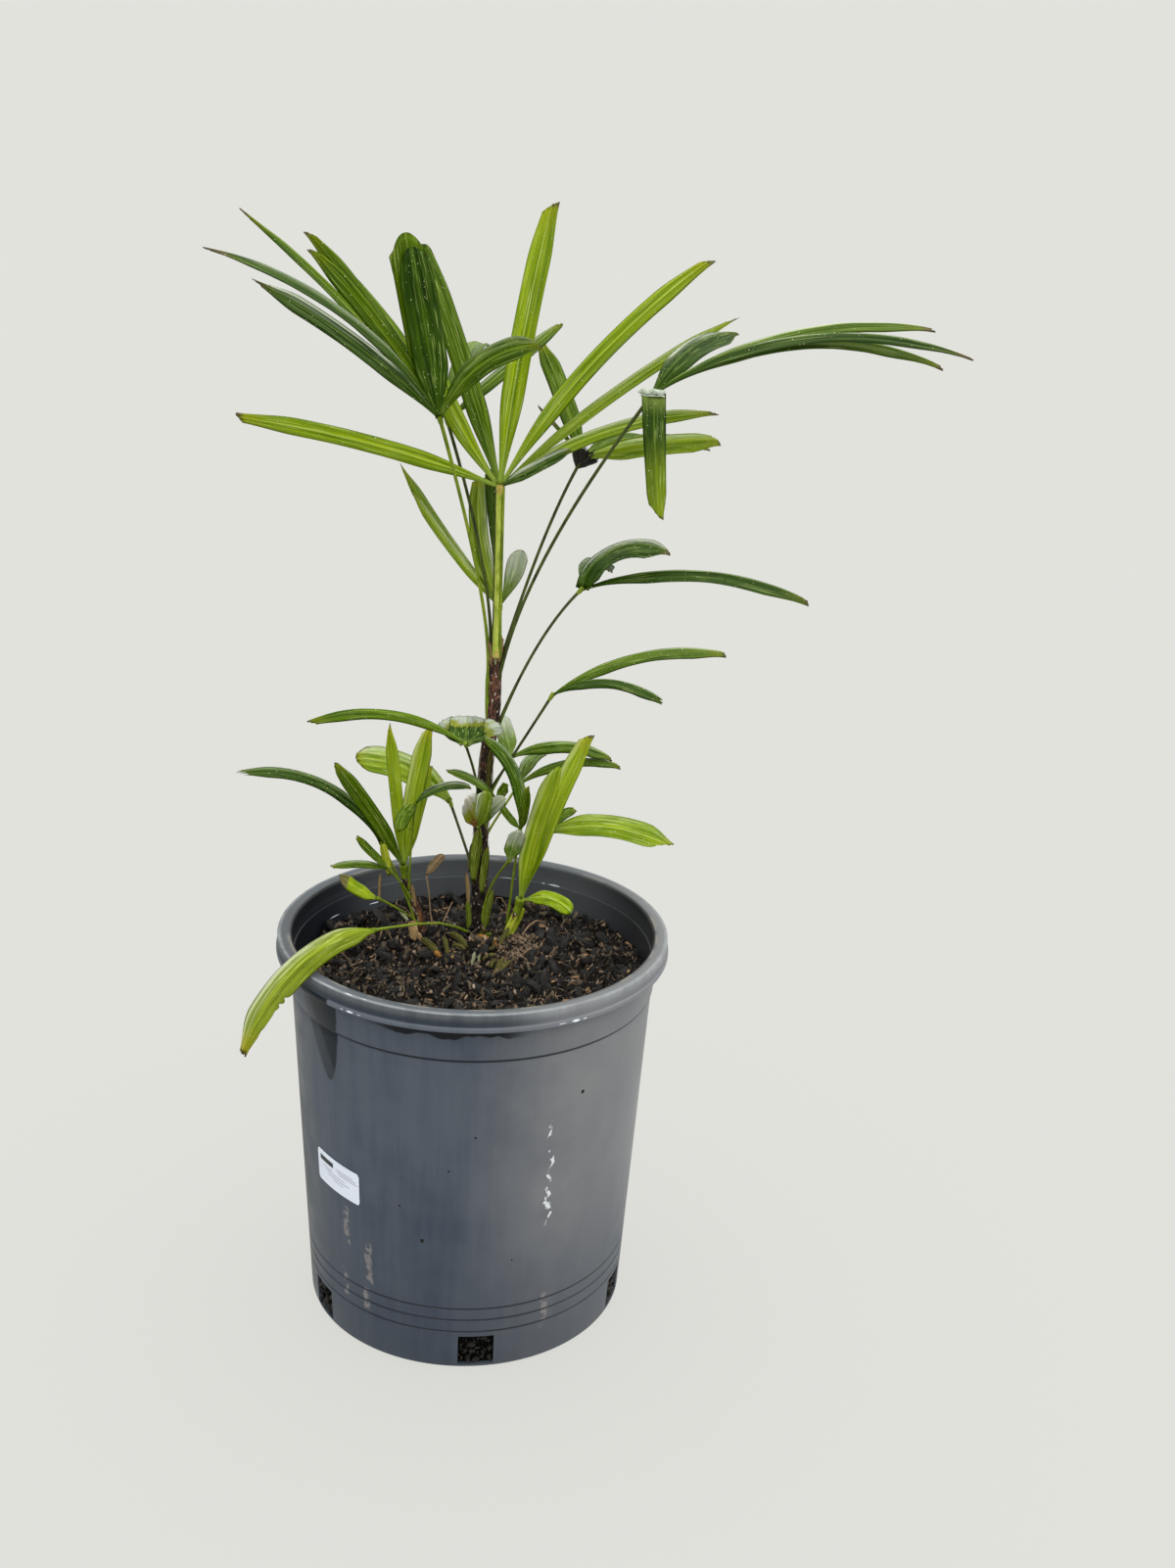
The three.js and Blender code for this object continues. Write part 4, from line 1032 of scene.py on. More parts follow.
# seat: height on the stem, side it leaves from in degrees, how far it runs upright, how much it leans.
FRONDS = {
    "frond_top_front": Frond(MAIN, (508, -90, 50, 0.4), (11, 52, 638), 3.0, (-90, 25), [
        L(-171, 21, 14, 196, 13, tip=0.5, slant=0.03),
        L(164, 47, -39, 176, 14),
        L(137, 66, 6, 186, 16, tone="mid", tip=0.7, round_end=0.04, slant=0, teeth=0, dry=1.1),
        L(52, 81, 12, 208, 17, tip=0.6),
        L(7, 60, 24, 226, 13, tip=0.5),
        L(21, 40, 14, 228, 9, tip=0.2, tone="bright", sheen=0.25, dry=0.955),
        L(16, 35, 35, 182, 10, tip=0.3, tone="bright", sheen=0.35, dry=0.95),
        L(-13, 31, 0, 61, 9, tone="deep", sheen=0.6),
    ], tone="bright"),
    "frond_top_left": Frond(MAIN, (494, 185, 55, 0), (-33, 28, 689), 1.5, (-95, 20), [
        L(-164, 52, 15, 194, 12, 55, tip=0.1, dry=0.955),
        L(-155, 55, 43, 205, 13, 50, tip=0.1, dry=0.91, tone="deep", sheen=0.35),
        L(-144, 41, 17, 175, 12, tip=0.12, tone="deep", dry=0.93, sheen=0.5),
        L(-169, 60, 14, 155, 11, tip=0.4, slant=-0.05),
        L(-167, 58, 14, 145, 12, tip=0.4, slant=-0.05),
        L(-163, 78, 0, 127, 26, tip=0.8, round_end=0.15, tone="mid", fold=0.2, dry=1.1, slant=0, teeth=0),
        L(-146, 79, 2, 118, 24, tip=0.8, round_end=0.15, tone="deep", fold=0.25, slant=0, teeth=0, dry=1.1),
        L(-38, 62, 58, 110, 17, tip=0.25, broad=0.45, tone="mid", sheen=0.15),
    ]),
    "frond_top_left_rear": Frond(MAIN, (505, 140, 65, 0), (-29, 75, 682), 1.4, (-90, 60), [
        L(41, 31, 0, 133, 12, round_end=0.04, sheen=0.3),
        L(80, 42, 55, 170, 16),
        L(120, 66, 30, 150, 16),
        L(158, 58, 20, 150, 14),
    ], dark_stalk=True),
    "frond_top_right_rear": Frond(MAIN, (498, 40, 105, 0.5), (74, 105, 654), 1.4, (-90, 55), [
        L(117, 54, 14, 107, 16, tone="mid"),
        L(-14, 21, 20, 108, 22, slant=0.08, tone="bright", fold=-0.35, sheen=0.35),
        L(128, 30, 0, 65, 4, tip=0.2, dry=0.6),
        L(20, 21, 36, 110, 16),
        L(50, 22, 45, 108, 16),
    ], dark_stalk=True),
    "frond_top_right": Frond(MAIN, (495, -25, 92, 0.18), (119, 40, 711), 1.5, (-80, 65), [
        L(-79, -76, -9, 91, 14.5, 0, 1.25, broad=1.0, tip=0.6, slant=-0.12, teeth=0.004, tone="turning"),
        L(46, 48, 53, 110, 20, tip=0.15, tone="deep", fold=-0.35, sheen=0.6),
        L(8, 35, 43, 221, 14, tip=0.3, fold=-0.4, sheen=0.8, dry=0.94),
        L(-5, 38, 61, 217, 15, tip=0.3, fold=-0.4, sheen=0.8),
        L(-10, 37, 56, 235, 12, tip=0.15, tone="deep", fold=-0.4, sheen=0.8, dry=0.94),
    ], dark_stalk=True),
    "frond_young_centre": Frond(MAIN, "tip", (13, 74, 543), 2, (-90, 30), [
        L(167, 47, -11, 131, 8, tip=0.15, sheen=0.4),
        L(175, 46, -11, 111, 7, tip=0.15, sheen=0.5),
        L(160, 63, -33, 101, 14, sheen=0.5, tip=0.7),
        L(150, 84, 0, 106, 9, tone="deep", root=0.1, broad=0.8, tip=0.9),
        L(3, 62, -20, 48, 15, root=0.15, broad=0.7, round_end=0.2, teeth=0.0, tip=1.0, tone="pale", dry=1.1),
    ], tone="bright"),
    "frond_mid_right": Frond(MAIN, (451, 0, 72, 0.45), (77, 95, 554), 1.4, (-80, 70), [
        L(-18, 80, 108, 90, 30, tip=0.12, root=0.36, broad=0.26, tone="deep", fold=-0.25, sheen=0.6,
          dry=0.93),
        L(-12, 25, 48, 183, 18, slant=0.06, fold=-0.45, sheen=0.45),
        L(70, 40, 80, 78, 20, sheen=0.2),
    ], tone="deep", dark_stalk=True),
    "frond_lower_right": Frond(MAIN, (398, -15, 25, 0.3), (55, 40, 484), 1.3, (-90, 70), [
        L(-10, 43, 50, 141, 14, tip=0.4, slant=0.04, fold=-0.45, sheen=0.6),
        L(-32, 40, 68, 103, 12, tip=0.3, teeth=0.1, fold=-0.5, tone="deep", sheen=0.6),
    ], dark_stalk=True),
    "frond_low_left": Frond(MAIN, (391, 220, 15, 0), (-10, 22, 449), 1.2, (-90, 60), [
        L(-168, 40, 60, 126, 11, tip=0.5, fold=-0.4),
        L(140, 46, 50, 30, 19, tip=0.8, teeth=0.04, tone="cup", round_end=0.22, root=0.5, dry=1.1),
        L(85, 60, 30, 25, 26, tip=0.9, teeth=0.04, tone="cup", round_end=0.2, root=0.5, dry=1.1),
        L(25, 40, 45, 34, 18, tip=0.7, teeth=0.04, tone="cup", round_end=0.22, root=0.5, dry=1.1),
    ], dark_stalk=True),
    "frond_stem_front": Frond(MAIN, (353, -95, 15, 0.3), (1, 38, 377), 1.3, (-90, 40), [
        L(-112, 54, 6, 42, 19, root=0.35, broad=0.5, tip=0.85, teeth=0.03, tone="shell", round_end=0.2,
          dry=1.1),
        L(-76, 50, -19, 44, 13, root=0.3, tip=0.7, teeth=0.03, tone="bright", sheen=0.8, round_end=0.1,
          dry=1.1),
        L(-30, 60, 20, 38, 11, tip=0.7, tone="pale", round_end=0.14, dry=1.1),
    ]),
    "frond_stem_pair": Frond(MAIN, (376, -50, 8, 0.2), (15, 50, 395), 1.2, (-90, 50), [
        L(-163, 50, 35, 50, 8, tip=0.3, sheen=0.3), L(-44, 53, 0, 20, 10, round_end=0.2),
    ]),
    "frond_low_right_upper": Frond(MAIN, (389, 30, 10, 0.3), (26, 95, 415), 1.2, (-90, 60), [
        L(16, 25, 60, 92, 14, tip=0.3, fold=-0.35, sheen=0.5),
        L(110, 60, 40, 41, 15, tone="pale", round_end=0.2, tip=0.9, dry=1.1),
    ]),
    "frond_low_right_lower": Frond(MAIN, (357, 40, 8, 0.2), (33, 100, 390), 1.2, (-90, 60), [
        L(13, 38, 62, 92, 10, fold=-0.35, sheen=0.3), L(70, 35, 60, 70, 12, sheen=0.5),
    ]),
    "frond_low_left_rear": Frond(MAIN, (324, 150, 12, 0.2), (-22, 100, 374), 1.3, (-80, 45), [
        L(177, 50, 54, 88, 25, round_end=0.12, tip=0.7, tone="bright", sheen=0.35),
        L(130, 40, 70, 80, 14, sheen=0.6),
    ], dark_stalk=True),
    "frond_foot_small": Frond(MAIN, (288, -60, 30, 0.1), (26, 38, 348), 1.1, (-90, 20), [
        L(-47, 76, 13, 32, 13, round_end=0.25, teeth=0, tip=0.9, tone="pale", dry=1.1),
    ]),
    "frond_over_rim": Frond(MAIN, (281, -110, 14, 0.25), (-75, -35, 320), 1.4, (-100, 65), [
        L(-131.5, 17, 80, 151, 23, slant=-0.02, teeth=0.014, root=0.3, tip=0.26, broad=0.2, fold=-0.1,
          sheen=0.4, ribs=5, row_length=2.2, tone="lime",
          tears=((0.8, 1, 0.3, 0.1), (0.67, 1, 0.24, 0.01), (0.71, 1, 0.3, 0.007), (0.75, 1, 0.12, 0.01),
                 (0.86, 1, 0.14, 0.012))),
    ], tone="young"),
    "shoot_right_tall_leaf": Frond(RIGHT, "tip", (36, 42, 313), 3.2, (-90, 20), [
        L(-42, 83, 17, 128, 15, round_end=0.05, sheen=0.25, dry=1.1),
        L(20, 75, 13, 146, 15, slant=0.06, tip=0.6, sheen=0.25),
    ], tone="young", fold=0.25),
    "shoot_right_wide_leaf": Frond(RIGHT, (292, 45, 30, 0.1), (54, 60, 364), 1.3, (-90, 55), [
        L(-18, 25, 48, 107, 22, slant=-0.14, teeth=0.02, tip=0.35, tone="bright", sheen=0.15),
        L(39, 41, 40, 36, 9, tone="mid"),
    ], tone="young"),
    "shoot_right_round_leaf": Frond(RIGHT, (296, -50, 12, 0.2), (40, 20, 323), 1.1, (-90, 60), [
        L(-29, 33, 72, 43, 15, round_end=0.22, teeth=0, tip=1.0, tone="bright", dry=1.1),
    ], tone="young"),
    "shoot_right_curved_leaf": Frond(RIGHT, (288, 150, 45, 0.4), (34, 38, 375), 1.1, (-90, 35), [
        L(-144, 97, 65, 95, 10.5, tone="vivid", sheen=0.2), L(143, 28, -20, 26, 6), L(-83, 40, -37, 55, 7),
    ]),
    "shoot_left_fan": Frond(LEFT, "tip", (-57, 58, 333), 2.6, (-90, 30), [
        L(-144, 63, 12, 119, 12, tone="mid", round_end=0.04), L(171, 84, 0, 120, 10, tip=0.2),
        L(6, 85, 8, 119, 15, sheen=0.2), L(60, 66, 5, 84, 10, sheen=0.3),
    ], tone="young", fold=0.25),
    "shoot_left_small_leaf": Frond(LEFT, (316, -80, 40, 0.2), (-48, 45, 391), 1, (-90, 50), [
        L(-7, 54, 67, 50, 8, tone="deep", sheen=0.5), L(-120, 0, 68, 30, 11, tone="mid", round_end=0.1),
    ]),
    "shoot_left_long_leaf": Frond(LEFT, (290, 190, 30, 0.4), (-75, 60, 352), 1.3, (-90, 60), [
        L(-162, 70, 79, 145, 12, tip=0.3, teeth=0.08, fold=-0.35, sheen=0.4),
    ], tone="deep"),
    "shoot_left_low_leaf": Frond(LEFT, (308, -110, 12, 0.3), (-68, 48, 335), 1.1, (-90, 60), [
        L(-163, 44, -9, 40, 8), L(-158, 28, 37, 49, 8, fold=-0.3, sheen=0.4),
    ]),
    "shoot_left_brown_leaf": Frond(LEFT, (285, -110, 15, 0.3), (-75, 20, 322), 1.1, (-90, 50), [
        L(-144, 28, -21, 45, 12, tip=0.15, dry=0.74),
    ], tone="young"),
}
print("fronds:", len(FRONDS), "leaflets:", sum(len(f.leaflets) for f in FRONDS.values()))

# %% Cut the flat pattern
FEWEST_ROWS, TEETH_FROM, TEETH_ROWS = 10, 0.86, 4
TONE_NUMBERS = {tone: k for k, tone in enumerate(TONES)}
LEAST_DROOP, LEAST_SHEEN = 0.06, 0.01
leaf_number = iter(range(1, 1000))


def cut_leaflet(leaf, random):
    """Shares along and across for one closed flat strap, with its upper and lower skin."""
    # Four columns to a pleat put a point on every ridge and in every valley.
    columns = 4 * leaf.ribs
    rows = max(FEWEST_ROWS, round(leaf.length / leaf.row_length))
    across = np.linspace(-1, 1, columns + 1)
    teeth = random.uniform(0, 1, columns + 1) * leaf.teeth * np.where(np.arange(columns + 1) % 2, 1, 0.4)
    far_side = (1 + np.sign(leaf.slant or 1) * across) / 2
    rounding = leaf.round_end * (1 - np.sqrt(1 - 0.97 * across**2))
    end = 1 - teeth - abs(leaf.slant) * far_side**1.7 - rounding
    if leaf.round_end:
        shares = np.linspace(0, 1, rows + TEETH_ROWS)[:, None] * end
    else:
        plain = np.linspace(0, TEETH_FROM, rows)[:, None] * np.ones(columns + 1)
        last = np.linspace(0, 1, TEETH_ROWS + 1)[1:, None]
        shares = np.vstack([plain, TEETH_FROM + last * (end - TEETH_FROM)])
    # The lower skin shares the outline's points with the upper one and has its own points inside it.
    rows, inner = len(shares), (len(shares) - 2, columns - 1)
    top = np.arange(rows * (columns + 1)).reshape(rows, columns + 1)
    under = top.copy()
    under[1:-1, 1:-1] = top.size + np.arange(inner[0] * inner[1]).reshape(inner)
    grid = np.broadcast_to(across, shares.shape).copy()
    # A tear pulls one margin in over a short stretch: (share, side, depth, reach).
    for at, margin, depth, reach in leaf.tears:
        pull = 1 - depth * np.exp(-(((shares - at) / reach) ** 2))
        grid = np.where(grid * margin > 0, grid * pull, grid)
    layer = np.zeros_like(shares)
    layer[1:-1, 1:-1] = 1
    share = np.concatenate([shares.ravel(), shares[1:-1, 1:-1].ravel()])
    side = np.concatenate([grid.ravel(), grid[1:-1, 1:-1].ravel()])
    skin = np.concatenate([layer.ravel(), -np.ones(inner[0] * inner[1])])
    faces = []
    for i in range(rows - 1):
        for j in range(columns):
            faces.append((top[i, j], top[i + 1, j], top[i + 1, j + 1], top[i, j + 1]))
            faces.append((under[i, j], under[i, j + 1], under[i + 1, j + 1], under[i + 1, j]))
    return share, side, skin, faces


def fan_pattern(name, frond, random):
    """The flat pattern of every leaflet of one fan, each point with its leaflet's measures."""
    carried, faces, total = {}, [], 0
    heading, rise = (math.radians(a) for a in frond.face)
    face = (math.cos(rise) * math.cos(heading), math.cos(rise) * math.sin(heading), math.sin(rise))
    for leaf in frond.leaflets:
        share, side, skin, cut = cut_leaflet(leaf, random)
        faces += [tuple(int(k) + total for k in f) for f in cut]
        total += len(share)
        droop = leaf.droop if abs(leaf.droop) > LEAST_DROOP else LEAST_DROOP
        measures = dict(
            heading=math.radians(leaf.heading), rise=math.radians(leaf.rise), droop=math.radians(droop),
            long=leaf.length * MM, wide=leaf.width * MM, twist=math.radians(leaf.twist),
            root_share=leaf.root, tip_share=leaf.tip, broad=leaf.broad, ribs=leaf.ribs, dry_from=leaf.dry,
            fold=frond.fold if leaf.fold is None else leaf.fold,
            # The sign tells which margin the light skims: the upper one, left or right of the fan.
            sheen=math.copysign(max(leaf.sheen, LEAST_SHEEN), math.cos(math.radians(leaf.heading))),
            tone=TONE_NUMBERS.get(leaf.tone or frond.tone, 0), number=next(leaf_number),
            knuckle=tuple(frond.knuckle * MM), face=face,
        )
        for key, value in measures.items():
            measures[key] = np.broadcast_to(np.asarray(value, float), (len(share),) + np.shape(value))
        for key, values in dict(share=share, across=side, skin=skin, **measures).items():
            carried.setdefault(key, []).append(values)
    merged = {key: np.concatenate(values) for key, values in carried.items()}
    return pattern_mesh(name, np.zeros((total, 3)), (), faces, **merged)

# %% The tree that bends a fan
NARROW_FROM = 0.78
fan_tree, given, result = new_maker("bend_fan", {
    "Pleat depth": 0.0, "Blade thickness": 0.0, "Ripple": 0.0,
    **{tone + " finish": FINISH for tone in TONES}})
share, across, skin, tone_of, number = (
    read(fan_tree, key) for key in ("share", "across", "skin", "tone", "number"))
heading, rise, droop, twist, fold, ribs = (
    read(fan_tree, key) for key in ("heading", "rise", "droop", "twist", "fold", "ribs"))
long, wide, root_share, tip_share, broad = (
    read(fan_tree, key) for key in ("long", "wide", "root_share", "tip_share", "broad"))
knuckle, face = (read(fan_tree, key, "FLOAT_VECTOR") for key in ("knuckle", "face"))
slope = rise - droop * share
level = slope.join("COSINE")
way = triple(fan_tree, level * heading.join("COSINE"), level * heading.join("SINE"), slope.join("SINE"))
# The rib is an arc: its reach and its height are the sums of the slope's cosine and sine.
reach = (rise.join("SINE") - slope.join("SINE")) / droop
lift = (slope.join("COSINE") - rise.join("COSINE")) / droop
rib = knuckle + triple(fan_tree, reach * heading.join("COSINE"), reach * heading.join("SINE"), lift) * long
sideways = face.join("CROSS_PRODUCT", way).join("NORMALIZE")
sideways = draw(fan_tree, "ShaderNodeVectorRotate", {"Vector": sideways, "Axis": way, "Angle": twist},
                rotation_type="AXIS_ANGLE")
outward = way.join("CROSS_PRODUCT", sideways)
spread = root_share + smooth(share, 0.0, broad) * (1 - root_share)
narrowed = smooth(share, NARROW_FROM, 1.0) * (tip_share - 1) + 1
half = wide * 0.5 * spread * narrowed
pleat = (across * ribs * math.pi).join("COSINE") * given["Pleat depth"] * smooth(share, 0.0, 0.12, 0.4, 1.0)
ripple = grain(triple(fan_tree, share * long * 30.0, across * 0.5, number * 3.1), 1.0, 1.0)
raised = fold * half * abs(across) + pleat + (ripple - 0.5) * given["Ripple"]
raised = raised + skin * given["Blade thickness"] * 0.5
bent = put(fan_tree, "GeometryNodeSetPosition", {
    "Geometry": given["Geometry"], "Position": rib + sideways * (half * across) + outward * raised})
soft = put(fan_tree, "GeometryNodeSetShadeSmooth", {"Geometry": bent})
flow = put(fan_tree, "GeometryNodeRealizeInstances", {"Geometry": soft})
for tone, number_of_tone in TONE_NUMBERS.items():
    flow = put(fan_tree, "GeometryNodeSetMaterial", {
        "Geometry": flow, "Selection": abs(tone_of - number_of_tone).join("LESS_THAN", 0.5),
        "Material": given[tone + " finish"]})
hand_out(fan_tree, result, Geometry=flow)

# %% Grow the fans
def grow_fan(name, frond, random, finishes, pleat, thick, ripple):
    """A whole fan from its pattern. The last three are millimetres."""
    return grow(name, fan_pattern(name + "_cut", frond, random), fan_tree, Pleat_depth=pleat * MM,
                Blade_thickness=thick * MM, Ripple=ripple * MM,
                **{tone + "_finish": finish for tone, finish in finishes.items()})


LEAF_FORM = (0.5, 0.5, 1.6)
leaf_random = np.random.default_rng(7)
fans = []
for name, frond in FRONDS.items():
    fan = grow_fan(name.replace("frond", "fan"), frond, leaf_random, TONES, *LEAF_FORM)
    young = frond.tone == "young" or name == "frond_young_centre"
    fans.append(keep(fan, "leaf_young" if young else "leaf_green", name))
dry_frond = Frond(None, None, (-39, 57, 327), 1, (-90, 30), [
    L(-9, 60, 13, 24, 7, round_end=0.12, tip=0.7, dry=1.1)], tone="deep")
keep(grow_fan("dry_leaf_blade", dry_frond, leaf_random, {"deep": DRY}, *LEAF_FORM), "leaf_dry", "dry_leaf")

# %% [markdown]
# ## Stalks and knuckles
# A stalk starts as a sheath that clasps the stem, runs up beside it and bends out to its fan. It is widest
# low down, near its seat. The strand tree makes it from a line of points, each with its own radius.

# %% Stalk lines
HIGH_SEAT, LONG_CLASP, SHORT_CLASP, CLASP_STEPS, STALK_STEPS, TIP_STEPS = 490, 0.2, 0.04, 5, 22, 8


def bezier(a, b, c, steps):
    """Points of a curve from a to c that leans towards b."""
    return [a * (1 - t) ** 2 + b * 2 * t * (1 - t) + c * t * t for t in np.linspace(0, 1, steps + 1)]


def stalk_line(frond):
    """The stalk's points from its seat on the stem to its knuckle, with a radius for each."""
    if frond.seat == "tip":
        start = stem_point(frond.stem, 1)
        points = bezier(start, (start + frond.knuckle) / 2, frond.knuckle, TIP_STEPS)
        return points, [frond.stalk * (1.15 - 0.15 * k / TIP_STEPS) for k in range(TIP_STEPS + 1)]
    height, side, upright, lean = frond.seat
    share = stem_share(frond.stem, height)
    angle = math.radians(side)
    centre = stem_point(frond.stem, share)
    seat = centre + Vector((math.cos(angle), math.sin(angle), 0)) * stem_radius(frond.stem, share)
    bend = seat + Vector((0, 0, upright))
    bend.x += (frond.knuckle.x - seat.x) * lean
    bend.y += (frond.knuckle.y - seat.y) * lean
    points = bezier(seat, bend, frond.knuckle, STALK_STEPS)
    # The clasping sheath runs down the stem under the seat, further on the high fronds of the left side.
    clasp = LONG_CLASP if height > HIGH_SEAT and side > 90 else SHORT_CLASP
    sheath = [stem_point(frond.stem, max(share - clasp * k / CLASP_STEPS, 0)) + (seat - centre)
              for k in range(CLASP_STEPS, 0, -1)]
    stout = 1.5 if clasp == LONG_CLASP else 1.0
    radii = [0.4, frond.stalk * 0.8 * stout] + [frond.stalk * stout] * 3
    radii += [frond.stalk * (1.2 - 0.35 * min(1, k / 6) + 0.1 * max(0, (k - 18) / 4))
              for k in range(STALK_STEPS + 1)]
    return sheath + points, radii


def beside(line, aside, back, thinner):
    """A copy of a stalk line, moved sideways and back and made thinner: a ridge along the stalk."""
    points, radii = line
    return [p + Vector((aside, back, 0)) for p in points], [r * thinner for r in radii]


# The leaf over the rim has a stalk that rises from the foot of the stem and arches over the mix.
OVER_RIM_STALK = (
    [(-2, 56, 277), (-6, 45, 284), (-14.1, 36, 291.8), (-27.3, 20, 302.1), (-44.2, 2, 309), (-62.2, -18, 315),
     (-75, -35, 320)], [1.0, 1.3, 1.0, 0.95, 0.95, 1.0, 1.4])
DRY_STALK = ([(-33, 55, 278), (-35.4, 55.4, 296), (-36.6, 56.2, 312), (-39, 57, 327)], [0.8, 0.6, 0.5, 0.7])
main_stalk = tuple(values[4:] for values in stalk_line(FRONDS["frond_top_front"]))
dark_lines = [stalk_line(frond) for frond in FRONDS.values() if frond.dark_stalk]
green_lines = [stalk_line(frond) for name, frond in FRONDS.items()
               if not frond.dark_stalk and name not in ("frond_top_front", "frond_over_rim")]
# The thick front stalk is channelled: a pale middle, a green ridge to its right, and two dark ridges, one
# to its left and one behind it.
green_lines += [OVER_RIM_STALK, beside(main_stalk, 2.3, 0.4, 0.58)]
dark_lines += [beside(main_stalk, -2.3, 1.2, 0.42), beside(main_stalk, 1.0, 1.6, 0.6)]
sweep("stalks_green", green_lines, 10, STALK, "leaf_green")
sweep("stalks_dark", dark_lines, 10, STALK_DARK, "leaf_green")
sweep("stalk_front", [beside(main_stalk, -0.4, 0, 0.78)], 10, STALK_PALE, "leaf_green")
sweep("dry_stalk", [DRY_STALK], 8, DRY, "leaf_dry")

# %% Knuckles and the fibrous hub
knuckles = []
for frond in FRONDS.values():
    points, radii = stalk_line(frond)
    way = (points[-1] - points[-3]).normalized()
    size = frond.stalk * 1.3
    knuckles.append(([frond.knuckle - way * 6, frond.knuckle - way * 3, frond.knuckle + way * 1.5],
                     [frond.stalk * 0.8, size, size * 1.1]))
# The first knuckle is stouter and paler, and its stalk has a collar at the foot.
top_knuckle = (knuckles[0][0], [2.0, 2.7, 3.0])
stalk_collar = (main_stalk[0][:4], [2.8, 3.1, 2.7, 1.6])
sweep("knuckle_top", [top_knuckle, stalk_collar], 10, KNUCKLE, "leaf_green")
sweep("knuckles", knuckles[1:], 8, STALK, "leaf_green")

# One fan has a black fibrous base: a wedge of hairs that opens from the knuckle up and to the right.
HUB_AT, HUB_HAIRS, HUB_SPREAD = Vector((69.6, 105, 647)), 210, (16, 108)
random = np.random.default_rng(12)
hairs = []
for _ in range(HUB_HAIRS):
    angle = math.radians(random.uniform(*HUB_SPREAD))
    way = Vector((math.cos(angle), random.uniform(-0.22, 0.12), math.sin(angle))).normalized()
    start = HUB_AT + way * random.uniform(0, 5) + Vector((0, random.uniform(-1.5, 1.5), -1))
    reach = random.uniform(9, 16) * (1.08 if angle < 0.9 else 0.9)
    points = [start + way * reach * k / 3 + Vector((0, 0, random.uniform(-0.5, 0.5))) for k in range(4)]
    hairs.append((points, [0.7, 0.9, 0.7, 0.1]))
sweep("hub_tuft", hairs, 5, HUB, "leaf_green")

# The hanging leaf is folded over at its top, and the fold is painted pale: a painted highlight on the wet
# leaf.
FOLD_HIGHLIGHT = plain_finish("leaf_fold_highlight", (104, 128, 92), (226, 230, 220), 420, 0.35, (1, 1, 1), 0.3, 0.0006, 0.4)
fold_lines = [([(108.0 + 3.2 * k, 38.6 - 0.5 * (k % 2), 712.6 - 0.5 * (k % 3)) for k in range(7)],
               [1.5, 2.1, 1.8, 2.3, 1.9, 2.2, 1.4]),
              ([(109.0 + 3.0 * k, 37.6, 709.2 + 0.6 * (k % 2)) for k in range(7)],
               [0.4, 0.7, 0.4, 0.9, 0.3, 0.8, 0.5])]
sweep("folded_top", fold_lines, 8, FOLD_HIGHLIGHT, "leaf_green")

# %% [markdown]
# ## Sheaths and scraps at the foot
# Old leaf bases stay on the stem as short sheaths, first green, then tan and torn. The same fan tree makes
# them: a sheath is a short leaflet with a broad root. Each is given by where it starts and ends.

# %% The mix's height, which the lowest scraps stand on
def soil_height(x, y):
    """Height of the mix in millimetres: heaped round the stems, lumpy everywhere."""
    heap = 4.0 * math.exp(-((x - 6) ** 2 + (y - 50) ** 2) / 2400)
    lumps = 6.5 * noise.noise(Vector((x, y, 0)) / 18) + 5.0 * noise.noise(Vector((x, y, 40)) / 6)
    edge = -3.0 * max(0.0, math.hypot(x, y) / inner_radius(SOIL_TOP) - 0.9) / 0.1
    return SOIL_TOP - 1.5 + heap + lumps + edge


def above_mix(x, y, lift):
    """A place a little above the mix, in millimetres."""
    return x, y, soil_height(x, y) + lift

# %% Sheaths
def blade(start, end, width, tone, bend=10, root=0.5, tip=0.3, **shape):
    """A single short leaflet from one point to another, as a frond without a stalk."""
    start, end = Vector(start), Vector(end)
    chord = end - start
    half_bend = math.radians(bend) / 2
    length = chord.length * half_bend / math.sin(half_bend)
    rise = math.degrees(math.asin(chord.z / chord.length)) + bend / 2
    heading = math.degrees(math.atan2(chord.y, chord.x))
    leaf = Leaflet(heading, rise, bend, length, width, root=root, tip=tip, tone=tone, ribs=2, **shape)
    return Frond(None, None, start, 1, (-88, 25), [leaf], tone=tone, fold=-0.3)


def low_blade(start, end, *rest, **shape):
    """A blade whose two ends are given by how far they lie above the mix."""
    return blade(above_mix(*start), above_mix(*end), *rest, **shape)


